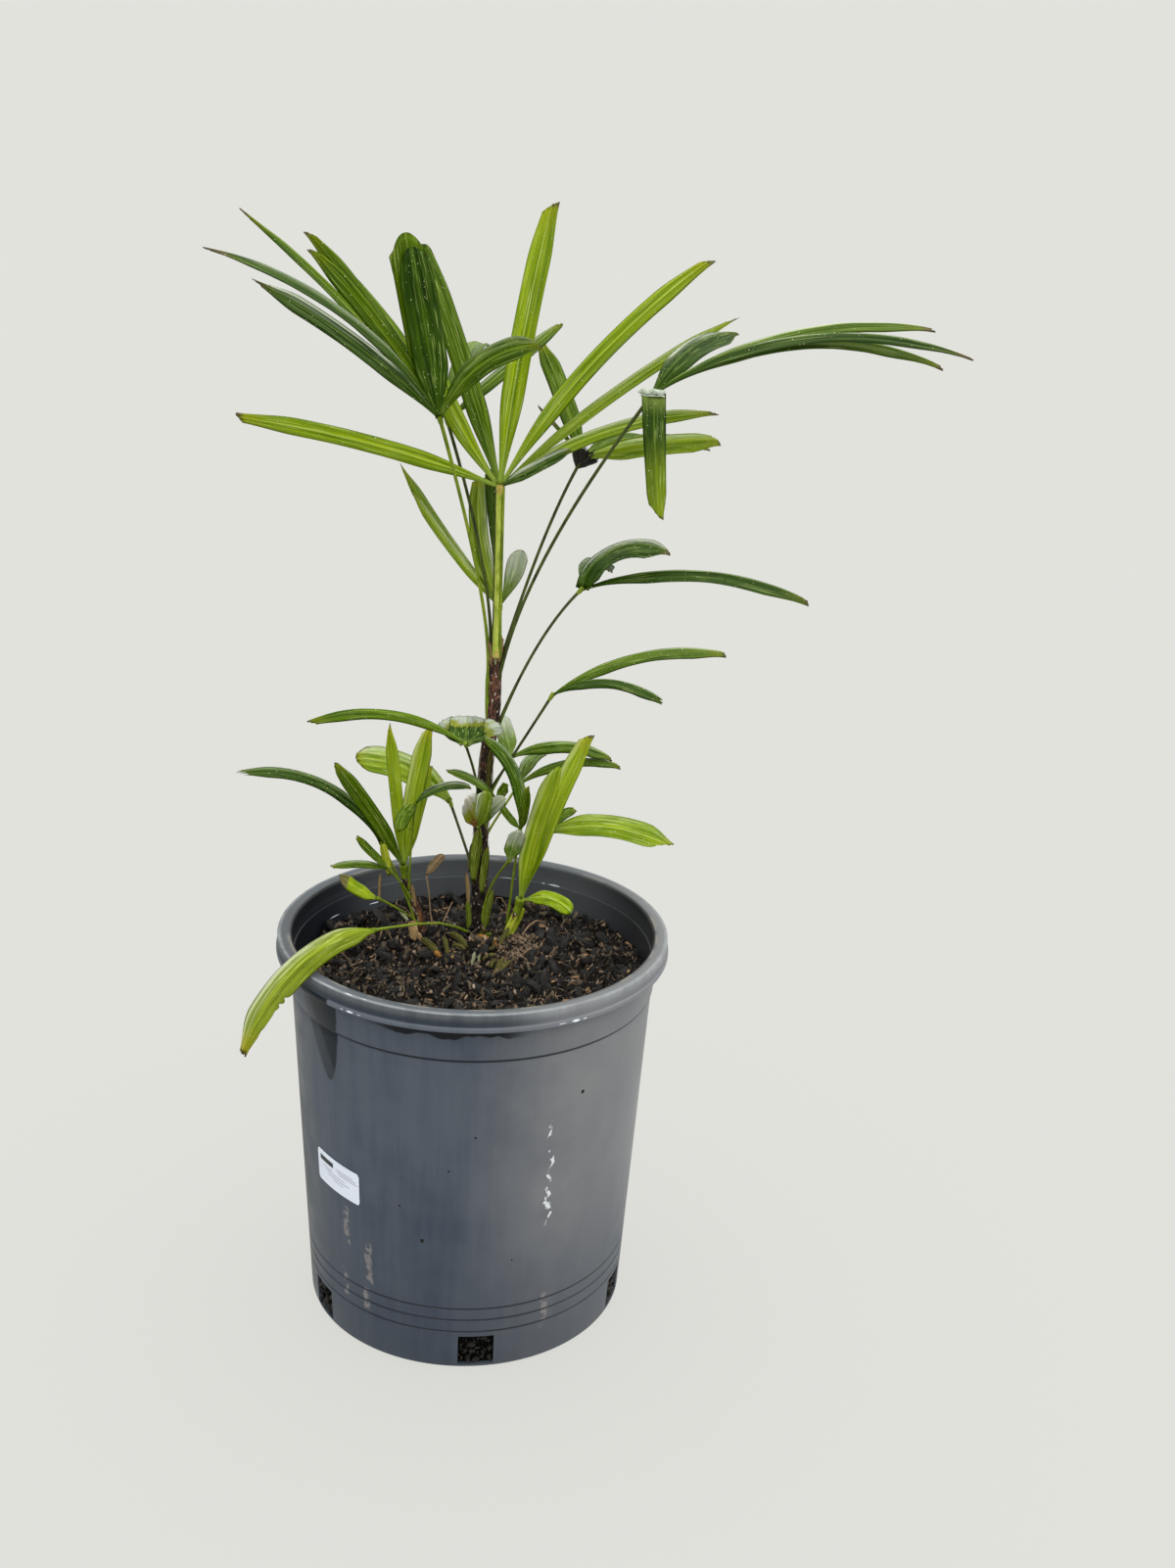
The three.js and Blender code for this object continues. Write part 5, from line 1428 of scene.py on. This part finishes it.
SHEATH_BLADES = [
    # on the main stem, from its foot up
    blade((-4.4, 57.5, 277), (-6.0, 57, 306), 4.4, "mid", root=0.6, tip=0.5),
    blade((-5.6, 58, 300), (-7.6, 59, 330), 3.2, "bright", tip=0.2, bend=16),
    blade((8.4, 55, 278), (14.6, 53, 318), 4.6, "mid"),
    blade((5.4, 56, 312), (9.6, 56, 354), 5.6, "mid", tip=0.2),
    blade((-1.4, 56.5, 322), (2.4, 57, 368), 8.0, "mid", tip=0.4),
    blade((-4.6, 58, 330), (-1.6, 58.5, 358), 4.5, "deep", tip=0.12),
    blade((9.0, 57.5, 396), (9.6, 57.0, 436), 4.0, "deep", root=0.4, tip=0.2),
    blade((7.4, 61.4, 500), (4.6, 60.0, 520), 2.6, "bright", root=0.6, bend=40),
    blade((13.6, 61.6, 502), (15.4, 61, 524), 3.0, "bright", root=0.6, tip=0.2, bend=-20),
    blade((11.4, 60.6, 500), (12.6, 60, 516), 2.2, "cup", root=0.6, tip=0.4),
    # low round the main stem
    low_blade((5.4, 40, 0), (9.4, 34, 10), 6.0, "deep", tip=0.1, bend=30),
    low_blade((3.0, 36, 6), (19.5, 25, 2), 4.6, "young", tip=0.1, bend=24),
    low_blade((5.0, 35, 5), (17.0, 21, 3), 3.0, "bright", tip=0.1, bend=30),
    low_blade((7.6, 38, 3), (14.0, 30, 9), 3.4, "mid", tip=0.1, bend=20),
    low_blade((-2.4, 26, 1), (4.6, 35, 5), 3.4, "bright"),
    low_blade((-5.2, 19, 1), (-20.5, 36, 6), 5.4, "deep", tip=0.2, bend=60),
    low_blade((-6.2, 16, 0), (-17.5, 22, 5), 3.6, "deep", tip=0.1, bend=70),
    low_blade((-20, 10, 0), (-23.5, 30, 8), 4.0, "deep", tip=0.2, bend=30),
    low_blade((-26, 8, 1), (-42.5, 24, 9), 5.4, "deep", root=0.6, tip=0.12, bend=26),
    low_blade((-41, 22, 8), (-44.5, 27, 14), 3.4, "bright", root=0.7, tip=0.1),
    low_blade((-25, 5, 1), (-31, 9, 4), 4.2, "young", tip=0.2, bend=20),
    low_blade((-20, 8, 2), (-15.5, 1, 4), 4.4, "bright", bend=20),
    low_blade((-0.8, -3, -1), (1.0, 2, 10), 2.6, "cup", root=0.6, tip=0.2),
    low_blade((3.8, -4, -1), (4.6, 0, 7), 1.8, "cup", root=0.6, tip=0.2),
    low_blade((6.8, 0, 1), (17.4, 8, 5), 4.2, "deep", root=0.4, tip=0.2, bend=30),
    low_blade((17.5, -18, 0), (23.6, -1, 9), 5.4, "deep", tip=0.15, bend=26),
    low_blade((20.5, -15, 0), (29.6, 0, 6), 3.2, "deep", tip=0.15, bend=26),
    low_blade((13, -8, 0), (18, -1, 5), 3.6, "deep", root=0.6, tip=0.2, bend=26),
    low_blade((20, 26, 1), (28, 42, 8), 3.6, "deep", tip=0.2, bend=20),
    low_blade((8, 20, 2), (19, 30, 6), 3.2, "bright", tip=0.2, bend=40),
    low_blade((11, 14, 1), (20, 17, 5), 3.4, "deep", root=0.6, tip=0.2, bend=50),
    # on the shoots
    blade((24.4, 41, 277), (37.2, 40, 308), 9.0, "pale", tip=0.7, bend=4, dry=1.1),
    blade((-47.6, 53, 300), (-50.8, 53, 321), 3.0, "bright"),
    blade((-42.8, 53.6, 282), (-45.0, 53, 299), 2.2, "young", tip=0.2),
    blade((-68.0, 49, 329), (-73.2, 47, 357), 6.4, "pale", root=0.4, tip=0.7, bend=6, dry=1.1),
    # a dry bract over the long stalk, and a dry tip that hangs by the shoot
    blade((-49.2, 34, 297.5), (-46.4, 25, 284), 7.4, "bright", root=0.9, tip=0.08, bend=20),
    blade((-74.8, 40, 309), (-74.0, 40, 336), 2.4, "bright", tip=0.2),
    blade((-52.4, 35, 297), (-60, 46, 301), 2.4, "cup", root=0.8, bend=20),
]
SHEATH_FORM = (0.3, 0.6, 1.2)
sheath_random = np.random.default_rng(3)
sheaths = [grow_fan(f"sheath_{k:02d}", one, sheath_random, SHEATHS, *SHEATH_FORM)
           for k, one in enumerate(SHEATH_BLADES, 1)]
keep(join(sheaths, "sheaths"), "stem_fibre")

# %% [markdown]
# ## The potting mix
# The mix is a plug of damp bark and peat. Its top is uneven and heaps up round the stems. The plug is a
# mesh bent by noise, and a geometry tree scatters crumbs, chips and pebbles over it. The tree picks random
# points on the mix, puts a small lump on each, turns it, realizes it and pushes every corner about by
# noise, so that no two crumbs are alike. Thin roots are swept along lines, like the strands of the bark.

# %% The plug
PLUG_TURNS, PLUG_RINGS, PLUG_SIDE_HEIGHTS = 96, 40, (240, 160, 80, 30)
MIX_BASE = plain_finish("mix_base", (9, 8, 7), (36, 28, 22), 160, 0.8, (1, 1, 1), 0.8, 0.003, 0.15)
MIX_SIDE = plain_finish("mix_side", (7, 7, 7), (20, 18, 17), 200, 0.85, (1, 1, 1), 0.8, 0.003, 0.05)
SIDE_BELOW, SIDE_GAP = 0.2, 0.6


def plug_mesh():
    """The mix as one closed lump: its uneven top, its side against the wall, its flat underside."""
    bottom = FLOOR_THICKNESS + SEAT_GAP
    rim = inner_radius(SOIL_TOP) - SEAT_GAP
    vertices = [(0, 0, soil_height(0, 0) * MM)]
    for ring in range(1, PLUG_RINGS + 1):
        vertices += [(x * MM, y * MM, soil_height(x, y) * MM)
                     for x, y in circle(rim * ring / PLUG_RINGS, PLUG_TURNS)]
    for height in (*PLUG_SIDE_HEIGHTS, bottom):
        vertices += [(x * MM, y * MM, height * MM)
                     for x, y in circle(inner_radius(height) - SEAT_GAP - SIDE_GAP, PLUG_TURNS)]
    last, middle = len(vertices) - PLUG_TURNS, len(vertices)
    vertices.append((0, 0, bottom * MM))
    faces = ring_faces(PLUG_RINGS + len(PLUG_SIDE_HEIGHTS), PLUG_TURNS, first=1)
    for side in range(PLUG_TURNS):
        after = (side + 1) % PLUG_TURNS
        faces += [(0, 1 + side, 1 + after), (last + side, middle, last + after)]
    mesh = pattern_mesh("mix_plug", vertices, (), faces)
    mesh.shade_smooth()
    return mesh


plug = new_piece("mix_plug", plug_mesh(), MIX_BASE, MIX_SIDE)
for face in plug.data.polygons:
    face.material_index = int(face.center.z < SIDE_BELOW)
keep(plug, "potting_mix", "soil")

# %% The scattering tree
def chance(tree, low, high, seed):
    """A random number for each point."""
    node = put(tree, "FunctionNodeRandomValue", {"Seed": seed}, data_type="FLOAT")
    for value, socket in zip((low, high), [s for s in node.inputs if s.enabled]):
        feed(tree, value, socket)
    return Wire(tree, next(s for s in node.outputs if s.enabled))


def set_balls(tree, given, spots, turning, fineness, stretch):
    """Puts a small stretched ball on each spot. Most of them are nearer the smallest size."""
    ball = put(tree, "GeometryNodeMeshIcoSphere", {"Radius": 1.0, "Subdivisions": fineness})
    shaped = put(tree, "GeometryNodeTransform", {"Geometry": ball, "Scale": stretch})
    size = chance(tree, 0.0, 1.0, given["Seed"] + 3)
    size = given["Smallest"] + (given["Largest"] - given["Smallest"]) * (size * size)
    return put(tree, "GeometryNodeInstanceOnPoints", {
        "Points": spots, "Instance": shaped, "Rotation": turning, "Scale": triple(tree, size, size, size)})


scatter_tree, given, result = new_maker("scatter_lumps", {
    "Density": 0.0, "Smallest": 0.0, "Largest": 0.0, "Stretch": (1.0, 1.0, 1.0), "Jag": 0.0, "Sink": 0.0,
    "Tilt": 0.6, "Fineness": 1, "Seed": 1, "Finish": FINISH})
spots = put(scatter_tree, "GeometryNodeDistributePointsOnFaces", {
    "Mesh": given["Geometry"], "Density": given["Density"], "Seed": given["Seed"]})
spin = chance(scatter_tree, 0.0, 2 * math.pi, given["Seed"])
lean_x, lean_y = (chance(scatter_tree, -1.0, 1.0, given["Seed"] + shift) * given["Tilt"] for shift in (7, 11))
turning = put(scatter_tree, "FunctionNodeEulerToRotation",
              {"Euler": triple(scatter_tree, lean_x, lean_y, spin)})
placed = set_balls(scatter_tree, given, spots, turning, given["Fineness"], given["Stretch"])
real = put(scatter_tree, "GeometryNodeRealizeInstances", {"Geometry": placed})
where = put(scatter_tree, "GeometryNodeInputPosition")
shove = draw(scatter_tree, "ShaderNodeTexNoise", {"Vector": where, "Scale": 700.0, "Detail": 1.0}, "Color")
moved = put(scatter_tree, "GeometryNodeSetPosition", {
    "Geometry": real,
    "Offset": (shove - 0.5) * given["Jag"] - triple(scatter_tree, 0.0, 0.0, given["Sink"])})
end_tree(scatter_tree, moved, given, result)

# %% Scatter the mix
PATCH_RINGS, PATCH_TURNS, PATCH_HOLE = 30, 72, 0.5
SOIL_REACH = inner_radius(SOIL_TOP) - 3.5
EVEN = (1, 1, 1)
BARK_BLACK = plain_finish("bark_black", (3, 3, 3), (24, 21, 18), 300, 0.32, EVEN, 0.6, 0.001, 0.32)
BARK_BROWN = plain_finish("bark_brown", (28, 24, 19), (122, 106, 88), 300, 0.5, EVEN, 0.6, 0.001, 0.2)
COIR = plain_finish("coir", (84, 68, 54), (172, 148, 124), 300, 0.75, EVEN, 0.6, 0.001)
CHIP_TAN = plain_finish("chip_tan", (104, 78, 54), (168, 136, 104), 240, 0.7, (1, 1, 0.2), 0.5, 0.0008)
PEBBLE = plain_finish("pebble_pale", (126, 106, 92), (172, 154, 138), 300, 0.6, EVEN, 0.4, 0.0008)
# Pale bits painted as glints of light on the wet mix.
SOIL_GLINT = plain_finish("wet_glint", (170, 172, 172), (236, 238, 238), 300, 0.2, EVEN, 0.1, 0.0004, 0.6)


def ground_patch(name, centre_x, centre_y, outer):
    """A round patch of the mix's open top, to scatter on."""
    vertices = []
    for ring in range(PATCH_RINGS + 1):
        r = PATCH_HOLE + (outer - PATCH_HOLE) * ring / PATCH_RINGS
        vertices += [(x * MM, y * MM, soil_height(x, y) * MM)
                     for x, y in circle(r, PATCH_TURNS, (centre_x, centre_y))]
    return pattern_mesh(name, vertices, (), ring_faces(PATCH_RINGS, PATCH_TURNS))


def scatter(name, ground, finish, density, smallest, largest, stretch, jag, sink, tilt, seed, fineness=1):
    """Lumps on a patch of ground: density per square metre, sizes in millimetres."""
    keep(grow(name, ground, scatter_tree, Density=float(density), Smallest=smallest * MM,
              Largest=largest * MM, Stretch=stretch, Jag=jag * MM, Sink=sink * MM, Tilt=tilt, Seed=seed,
              Fineness=fineness, Finish=finish), "potting_mix")


WHOLE = (0, 0, SOIL_REACH)
# Each kind: name, patch (centre x, centre y, reach), finish, density, smallest, largest, stretch, jag,
# sink, tilt.
LUMPS = (
    ("bark_chunks", WHOLE, BARK_BLACK, 5200, 2.0, 6.5, (1.7, 0.9, 0.6), 5.0, -0.6, 1.3),
    ("bark_black", WHOLE, BARK_BLACK, 26000, 0.8, 3.4, (1.9, 0.8, 0.45), 5.0, -0.8, 1.5),
    ("bark_brown", WHOLE, BARK_BROWN, 20000, 0.7, 3.0, (2.2, 0.7, 0.35), 4.0, -1.0, 1.3),
    ("coir_lumps", WHOLE, COIR, 17000, 0.3, 1.7, (2.0, 0.6, 0.5), 3.0, -1.6, 1.4),
    ("coir_mound", (42, 20, 24), COIR, 300000, 0.35, 1.3, (1.2, 0.9, 0.8), 1.8, -2.0, 1.4),
    ("coir_front", (2, -8, 36), COIR, 12000, 0.5, 2.0, (1.3, 0.7, 0.6), 3.0, -1.4, 1.4),
    ("chips_tan", WHOLE, CHIP_TAN, 2400, 0.7, 2.8, (1.8, 0.7, 0.4), 2.0, -1.6, 0.5),
    ("pebbles", WHOLE, PEBBLE, 300, 0.8, 2.2, (1, 0.9, 0.85), 0.8, -1.6, 0.8),
    ("wet_glints", WHOLE, SOIL_GLINT, 3600, 0.22, 0.5, (1.4, 0.8, 0.6), 0.3, -2.4, 1.2),
)
for seed, (name, patch, *look) in enumerate(LUMPS, 5):
    scatter(name, ground_patch(name + "_ground", *patch), *look, seed * 13, 2 if name == "bark_chunks" else 1)

# Damp crumbs press out at the drain windows, with a few brown ones among them.
CRUMB_COLUMNS = 6
crumb_faces, crumb_corners = [], []
for window_turn in window_turns:
    first = len(crumb_corners)
    reach = WINDOW_WIDTH / 2 / body_radius(0)
    for k in range(CRUMB_COLUMNS):
        for height in (FLOOR_THICKNESS + 1, FLOOR_THICKNESS + WINDOW_HEIGHT - 1):
            angle = window_turn + reach * (2 * k / (CRUMB_COLUMNS - 1) - 1) * 0.96
            r = inner_radius(height) + 0.2
            crumb_corners.append((r * math.cos(angle) * MM, r * math.sin(angle) * MM, height * MM))
    for a in range(first, first + 2 * (CRUMB_COLUMNS - 1), 2):
        crumb_faces.append((a, a + 2, a + 3, a + 1))
for name, finish, density, largest, seed in (("crumbs_dark", BARK_BLACK, 90000, 2.6, 3),
                                             ("crumbs_brown", BARK_BROWN, 5000, 1.4, 8)):
    window_patches = pattern_mesh(name + "_ground", crumb_corners, (), crumb_faces)
    scatter(name, window_patches, finish, density, 0.6, largest, (1.5, 0.9, 0.6), 2.0, 0.0, 3.0, seed)

# %% Roots and threads
def thread(x, y, heading, length, radius, arch, random, steps=9):
    """A thin root that lies on the mix and arches a little."""
    points, angle = [], heading
    for k in range(steps):
        points.append((x, y, soil_height(x, y) + radius + arch * math.sin(math.pi * k / (steps - 1))))
        angle += random.normal(0, 0.28)
        x, y = x + math.cos(angle) * length / steps, y + math.sin(angle) * length / steps
    return points, [radius * (1 - 0.5 * k / steps) for k in range(steps)]


THREAD = plain_finish("root_thread", (92, 72, 56), (176, 148, 120), 200, 0.7, (1, 1, 0.3), 0.3)
THREAD_COUNT = 150
random = np.random.default_rng(23)
threads = []
for _ in range(THREAD_COUNT):
    far = SOIL_REACH * math.sqrt(random.uniform(0, 0.8))
    angle = random.uniform(0, 2 * math.pi)
    threads.append(thread(far * math.cos(angle), far * math.sin(angle), random.uniform(0, 2 * math.pi),
                          random.uniform(6, 26), random.uniform(0.16, 0.36), random.uniform(0, 2.5), random))
# Three that stand out: a hooped root beside the stem, a thicker one to the right, a short one on the left.
threads += [
    ([(16, 74, 296), (17.5, 72, 302), (21, 70, 303), (25, 71, 297), (27, 73, 284)], [0.5] * 5),
    ([(38, 46, 281), (44, 54, 286), (50, 64, 286), (57, 74, 281)], [0.8, 0.8, 0.7, 0.5]),
    ([(-26, 62, 282), (-21, 68, 292), (-18, 74, 297)], [0.6, 0.6, 0.4]),
]
sweep("roots", threads, 5, THREAD, "potting_mix")
DARK_ROOTS = [
    ([(86, -30, 281), (92, -20, 284), (100, -8, 285), (104, 6, 282)], [0.5, 0.7, 0.6, 0.4]),
    ([(-64, 36, 281), (-52, 44, 284), (-40, 46, 281)], [0.5, 0.6, 0.4]),
]
sweep("dark_roots", DARK_ROOTS, 5, BARK_BLACK, "potting_mix")
# Each pellet: x, y, radius.
PELLETS = ((59.3, 37.6, 3.0), (58.9, 52, 2.4), (0.9, -49.6, 2.6), (31.6, -54, 2.0), (-3, 30, 2.0),
           (9, 26, 2.6))
pellet_lines = [([(x - 0.8, y, soil_height(x, y) + 2.2), (x + 0.8, y, soil_height(x, y) + 2.4)], [r, r])
                for x, y, r in PELLETS]
sweep("pellets", pellet_lines, 10, PEBBLE, "potting_mix")

# %% [markdown]
# ## Water
# The plant has just been watered. Small drops sit on the leaflets, their pale colour a painted highlight,
# and painted glints, thin pale strips, lie along the rim's bead and the ledge inside it. A drop is a
# flattened ball that a tree sets flat on the blade.

# %% Drops and painted glints
# The drops are painted a pale green-white: a painted highlight of light on clear water.
WATER = plain_finish("water", (158, 176, 96), (222, 228, 190), 300, 0.12, EVEN, 0.05, 0.0001, 0.7)
DROP_DENSITY, SMALLEST_DROP, LARGEST_DROP, FLAT_BALL = 26000.0, 0.14, 0.46, (1.0, 1.0, 0.5)
drop_tree, given, result = new_maker("set_drops", {
    "Density": 0.0, "Smallest": 0.0, "Largest": 0.0, "Seed": 1, "Finish": FINISH})
spots = put(drop_tree, "GeometryNodeDistributePointsOnFaces", {
    "Mesh": given["Geometry"], "Selection": read(drop_tree, "skin").join("GREATER_THAN", 0.4),
    "Density": given["Density"], "Seed": given["Seed"]})
placed = set_balls(drop_tree, given, spots, Wire(drop_tree, spots.outputs["Rotation"]), 1, FLAT_BALL)
end_tree(drop_tree, placed, given, result, soft=True)
drops = [grow(f"drops_{k:02d}", fan.data.copy(), drop_tree, Density=DROP_DENSITY,
              Smallest=SMALLEST_DROP * MM, Largest=LARGEST_DROP * MM, Seed=k, Finish=WATER)
         for k, fan in enumerate(fans)]
keep(join([d for d in drops if len(d.data.vertices)], "drops"), "leaf_green")


def ring_arc(first, last, radius, height, thick, steps=10):
    """A painted glint along the rim: an arc from one angle to another in degrees."""
    angles = [math.radians(first + (last - first) * k / steps) for k in range(steps + 1)]
    return ([(radius * math.cos(a), radius * math.sin(a), height) for a in angles],
            [thick * math.sin(math.pi * min(0.98, 0.02 + k / steps)) + 0.05 for k in range(steps + 1)])


GLINT_STRIP = plain_finish("glint_strip", (176, 184, 194), (226, 232, 238), 200, 0.15, EVEN, 0.05, 0.0001, 0.3)
# Where the painted glints lie, as radius and height, and for each one its first angle, last angle and
# thickness: on the bead, the rim's top edge, the ledge inside, and twice where the mix meets the wall.
GLINT_STRIPS = (
    (RIM_RADIUS - 0.25, POT_HEIGHT - RIM_DEPTH + 2.0, (
        (-126, -123.3, 0.9), (-128.4, -126.6, 0.35), (-122.8, -120.5, 0.3), (-62.4, -59.4, 1.0),
        (-67, -63, 0.35), (-59, -57, 0.4))),
    (RIM_RADIUS - 2.4, POT_HEIGHT - 0.2, ((-138, -129, 0.25), (-127.5, -124, 0.5), (-123, -118.5, 0.25))),
    (RIM_INNER_RADIUS - 0.9, LEDGE_HEIGHT + 0.6, (
        (58.5, 63.5, 0.9), (64.5, 66, 0.5), (75.5, 81.5, 0.25), (116.2, 118.4, 0.7))),
    (136.0, 281.5, ((144, 149, 0.4),)),
    (135.8, 280.0, ((125, 130, 0.45),)),
)
films = [ring_arc(first, last, radius, height, thick)
         for radius, height, arcs in GLINT_STRIPS for first, last, thick in arcs]
sweep("water_films", films, 8, GLINT_STRIP, "pot_plastic")

# %% [markdown]
# ## The stage
# A plain pale floor runs out of sight in every direction, under a pale even sky, so that no wall or
# corner shows. Two broad soft lamps give the plant its light and shade. The lamps leave the floor out, so
# it stays plain and only the sky shades it where the pot stands.

# %% Floor, sky and lamps
SKY = srgb(226, 226, 221)
OVERHEAD_BOOST = 1.3
FLOOR_SIZE, FLOOR_SHADE, FLOOR_GLOW, FLOOR_HEIGHT = 40, 0.12, 0.80, -0.0004
floor_finish, tree, shader, place = new_finish("floor_pale")
shader.inputs["Base Color"].default_value = (FLOOR_SHADE, FLOOR_SHADE, FLOOR_SHADE, 1)
shader.inputs["Specular IOR Level"].default_value = 0.0
shader.inputs["Roughness"].default_value = 1.0
shader.inputs["Emission Color"].default_value = (*SKY, 1)
shader.inputs["Emission Strength"].default_value = FLOOR_GLOW
floor = new_piece("floor", pattern_mesh(
    "floor",
    [(x * FLOOR_SIZE, y * FLOOR_SIZE, FLOOR_HEIGHT) for x, y in ((-1, -1), (1, -1), (1, 1), (-1, 1))],
    (), [(0, 1, 2, 3)]), floor_finish)

world = bpy.data.worlds.new("sky")
world.use_nodes = True
sky = world.node_tree
backdrop = sky.nodes["Background"]
backdrop.inputs["Color"].default_value = (*SKY, 1)
# The sky is plain near the horizon and brighter overhead, most of all above the back.
direction = draw(sky, "ShaderNodeTexCoord", output="Generated")
overhead = smooth(part(direction, "Z"), 0.12, 0.8)
behind = smooth(part(direction, "Y"), -0.6, 0.6, 0.35, 1.0)
feed(sky, overhead * behind * OVERHEAD_BOOST + 1.0, backdrop.inputs["Strength"])
scene.world = world

unlit = bpy.data.collections.new("not_lit_by_lamps")
unlit.objects.link(floor)
unlit.collection_objects[0].light_linking.link_state = "EXCLUDE"


def lamp(name, heading, height, strength, softness, tint):
    """A broad distant lamp. heading and height are degrees: where its light comes from."""
    data = bpy.data.lights.new(name, "SUN")
    data.energy, data.angle, data.color = strength, math.radians(softness), tint
    made = bpy.data.objects.new(name, data)
    h, e = math.radians(heading), math.radians(height)
    source = Vector((math.cos(e) * math.cos(h), math.cos(e) * math.sin(h), math.sin(e)))
    made.rotation_mode = "QUATERNION"
    made.rotation_quaternion = source.to_track_quat("Z", "Y")
    made.light_linking.receiver_collection = unlit
    collection.objects.link(made)


lamp("key_lamp", -100, 48, 1.3, 50, (1.0, 0.99, 0.96))
lamp("side_lamp", 2, 28, 1.15, 40, (1.0, 1.0, 1.0))
scene.view_settings.view_transform = "Standard"
scene.view_settings.look = "None"
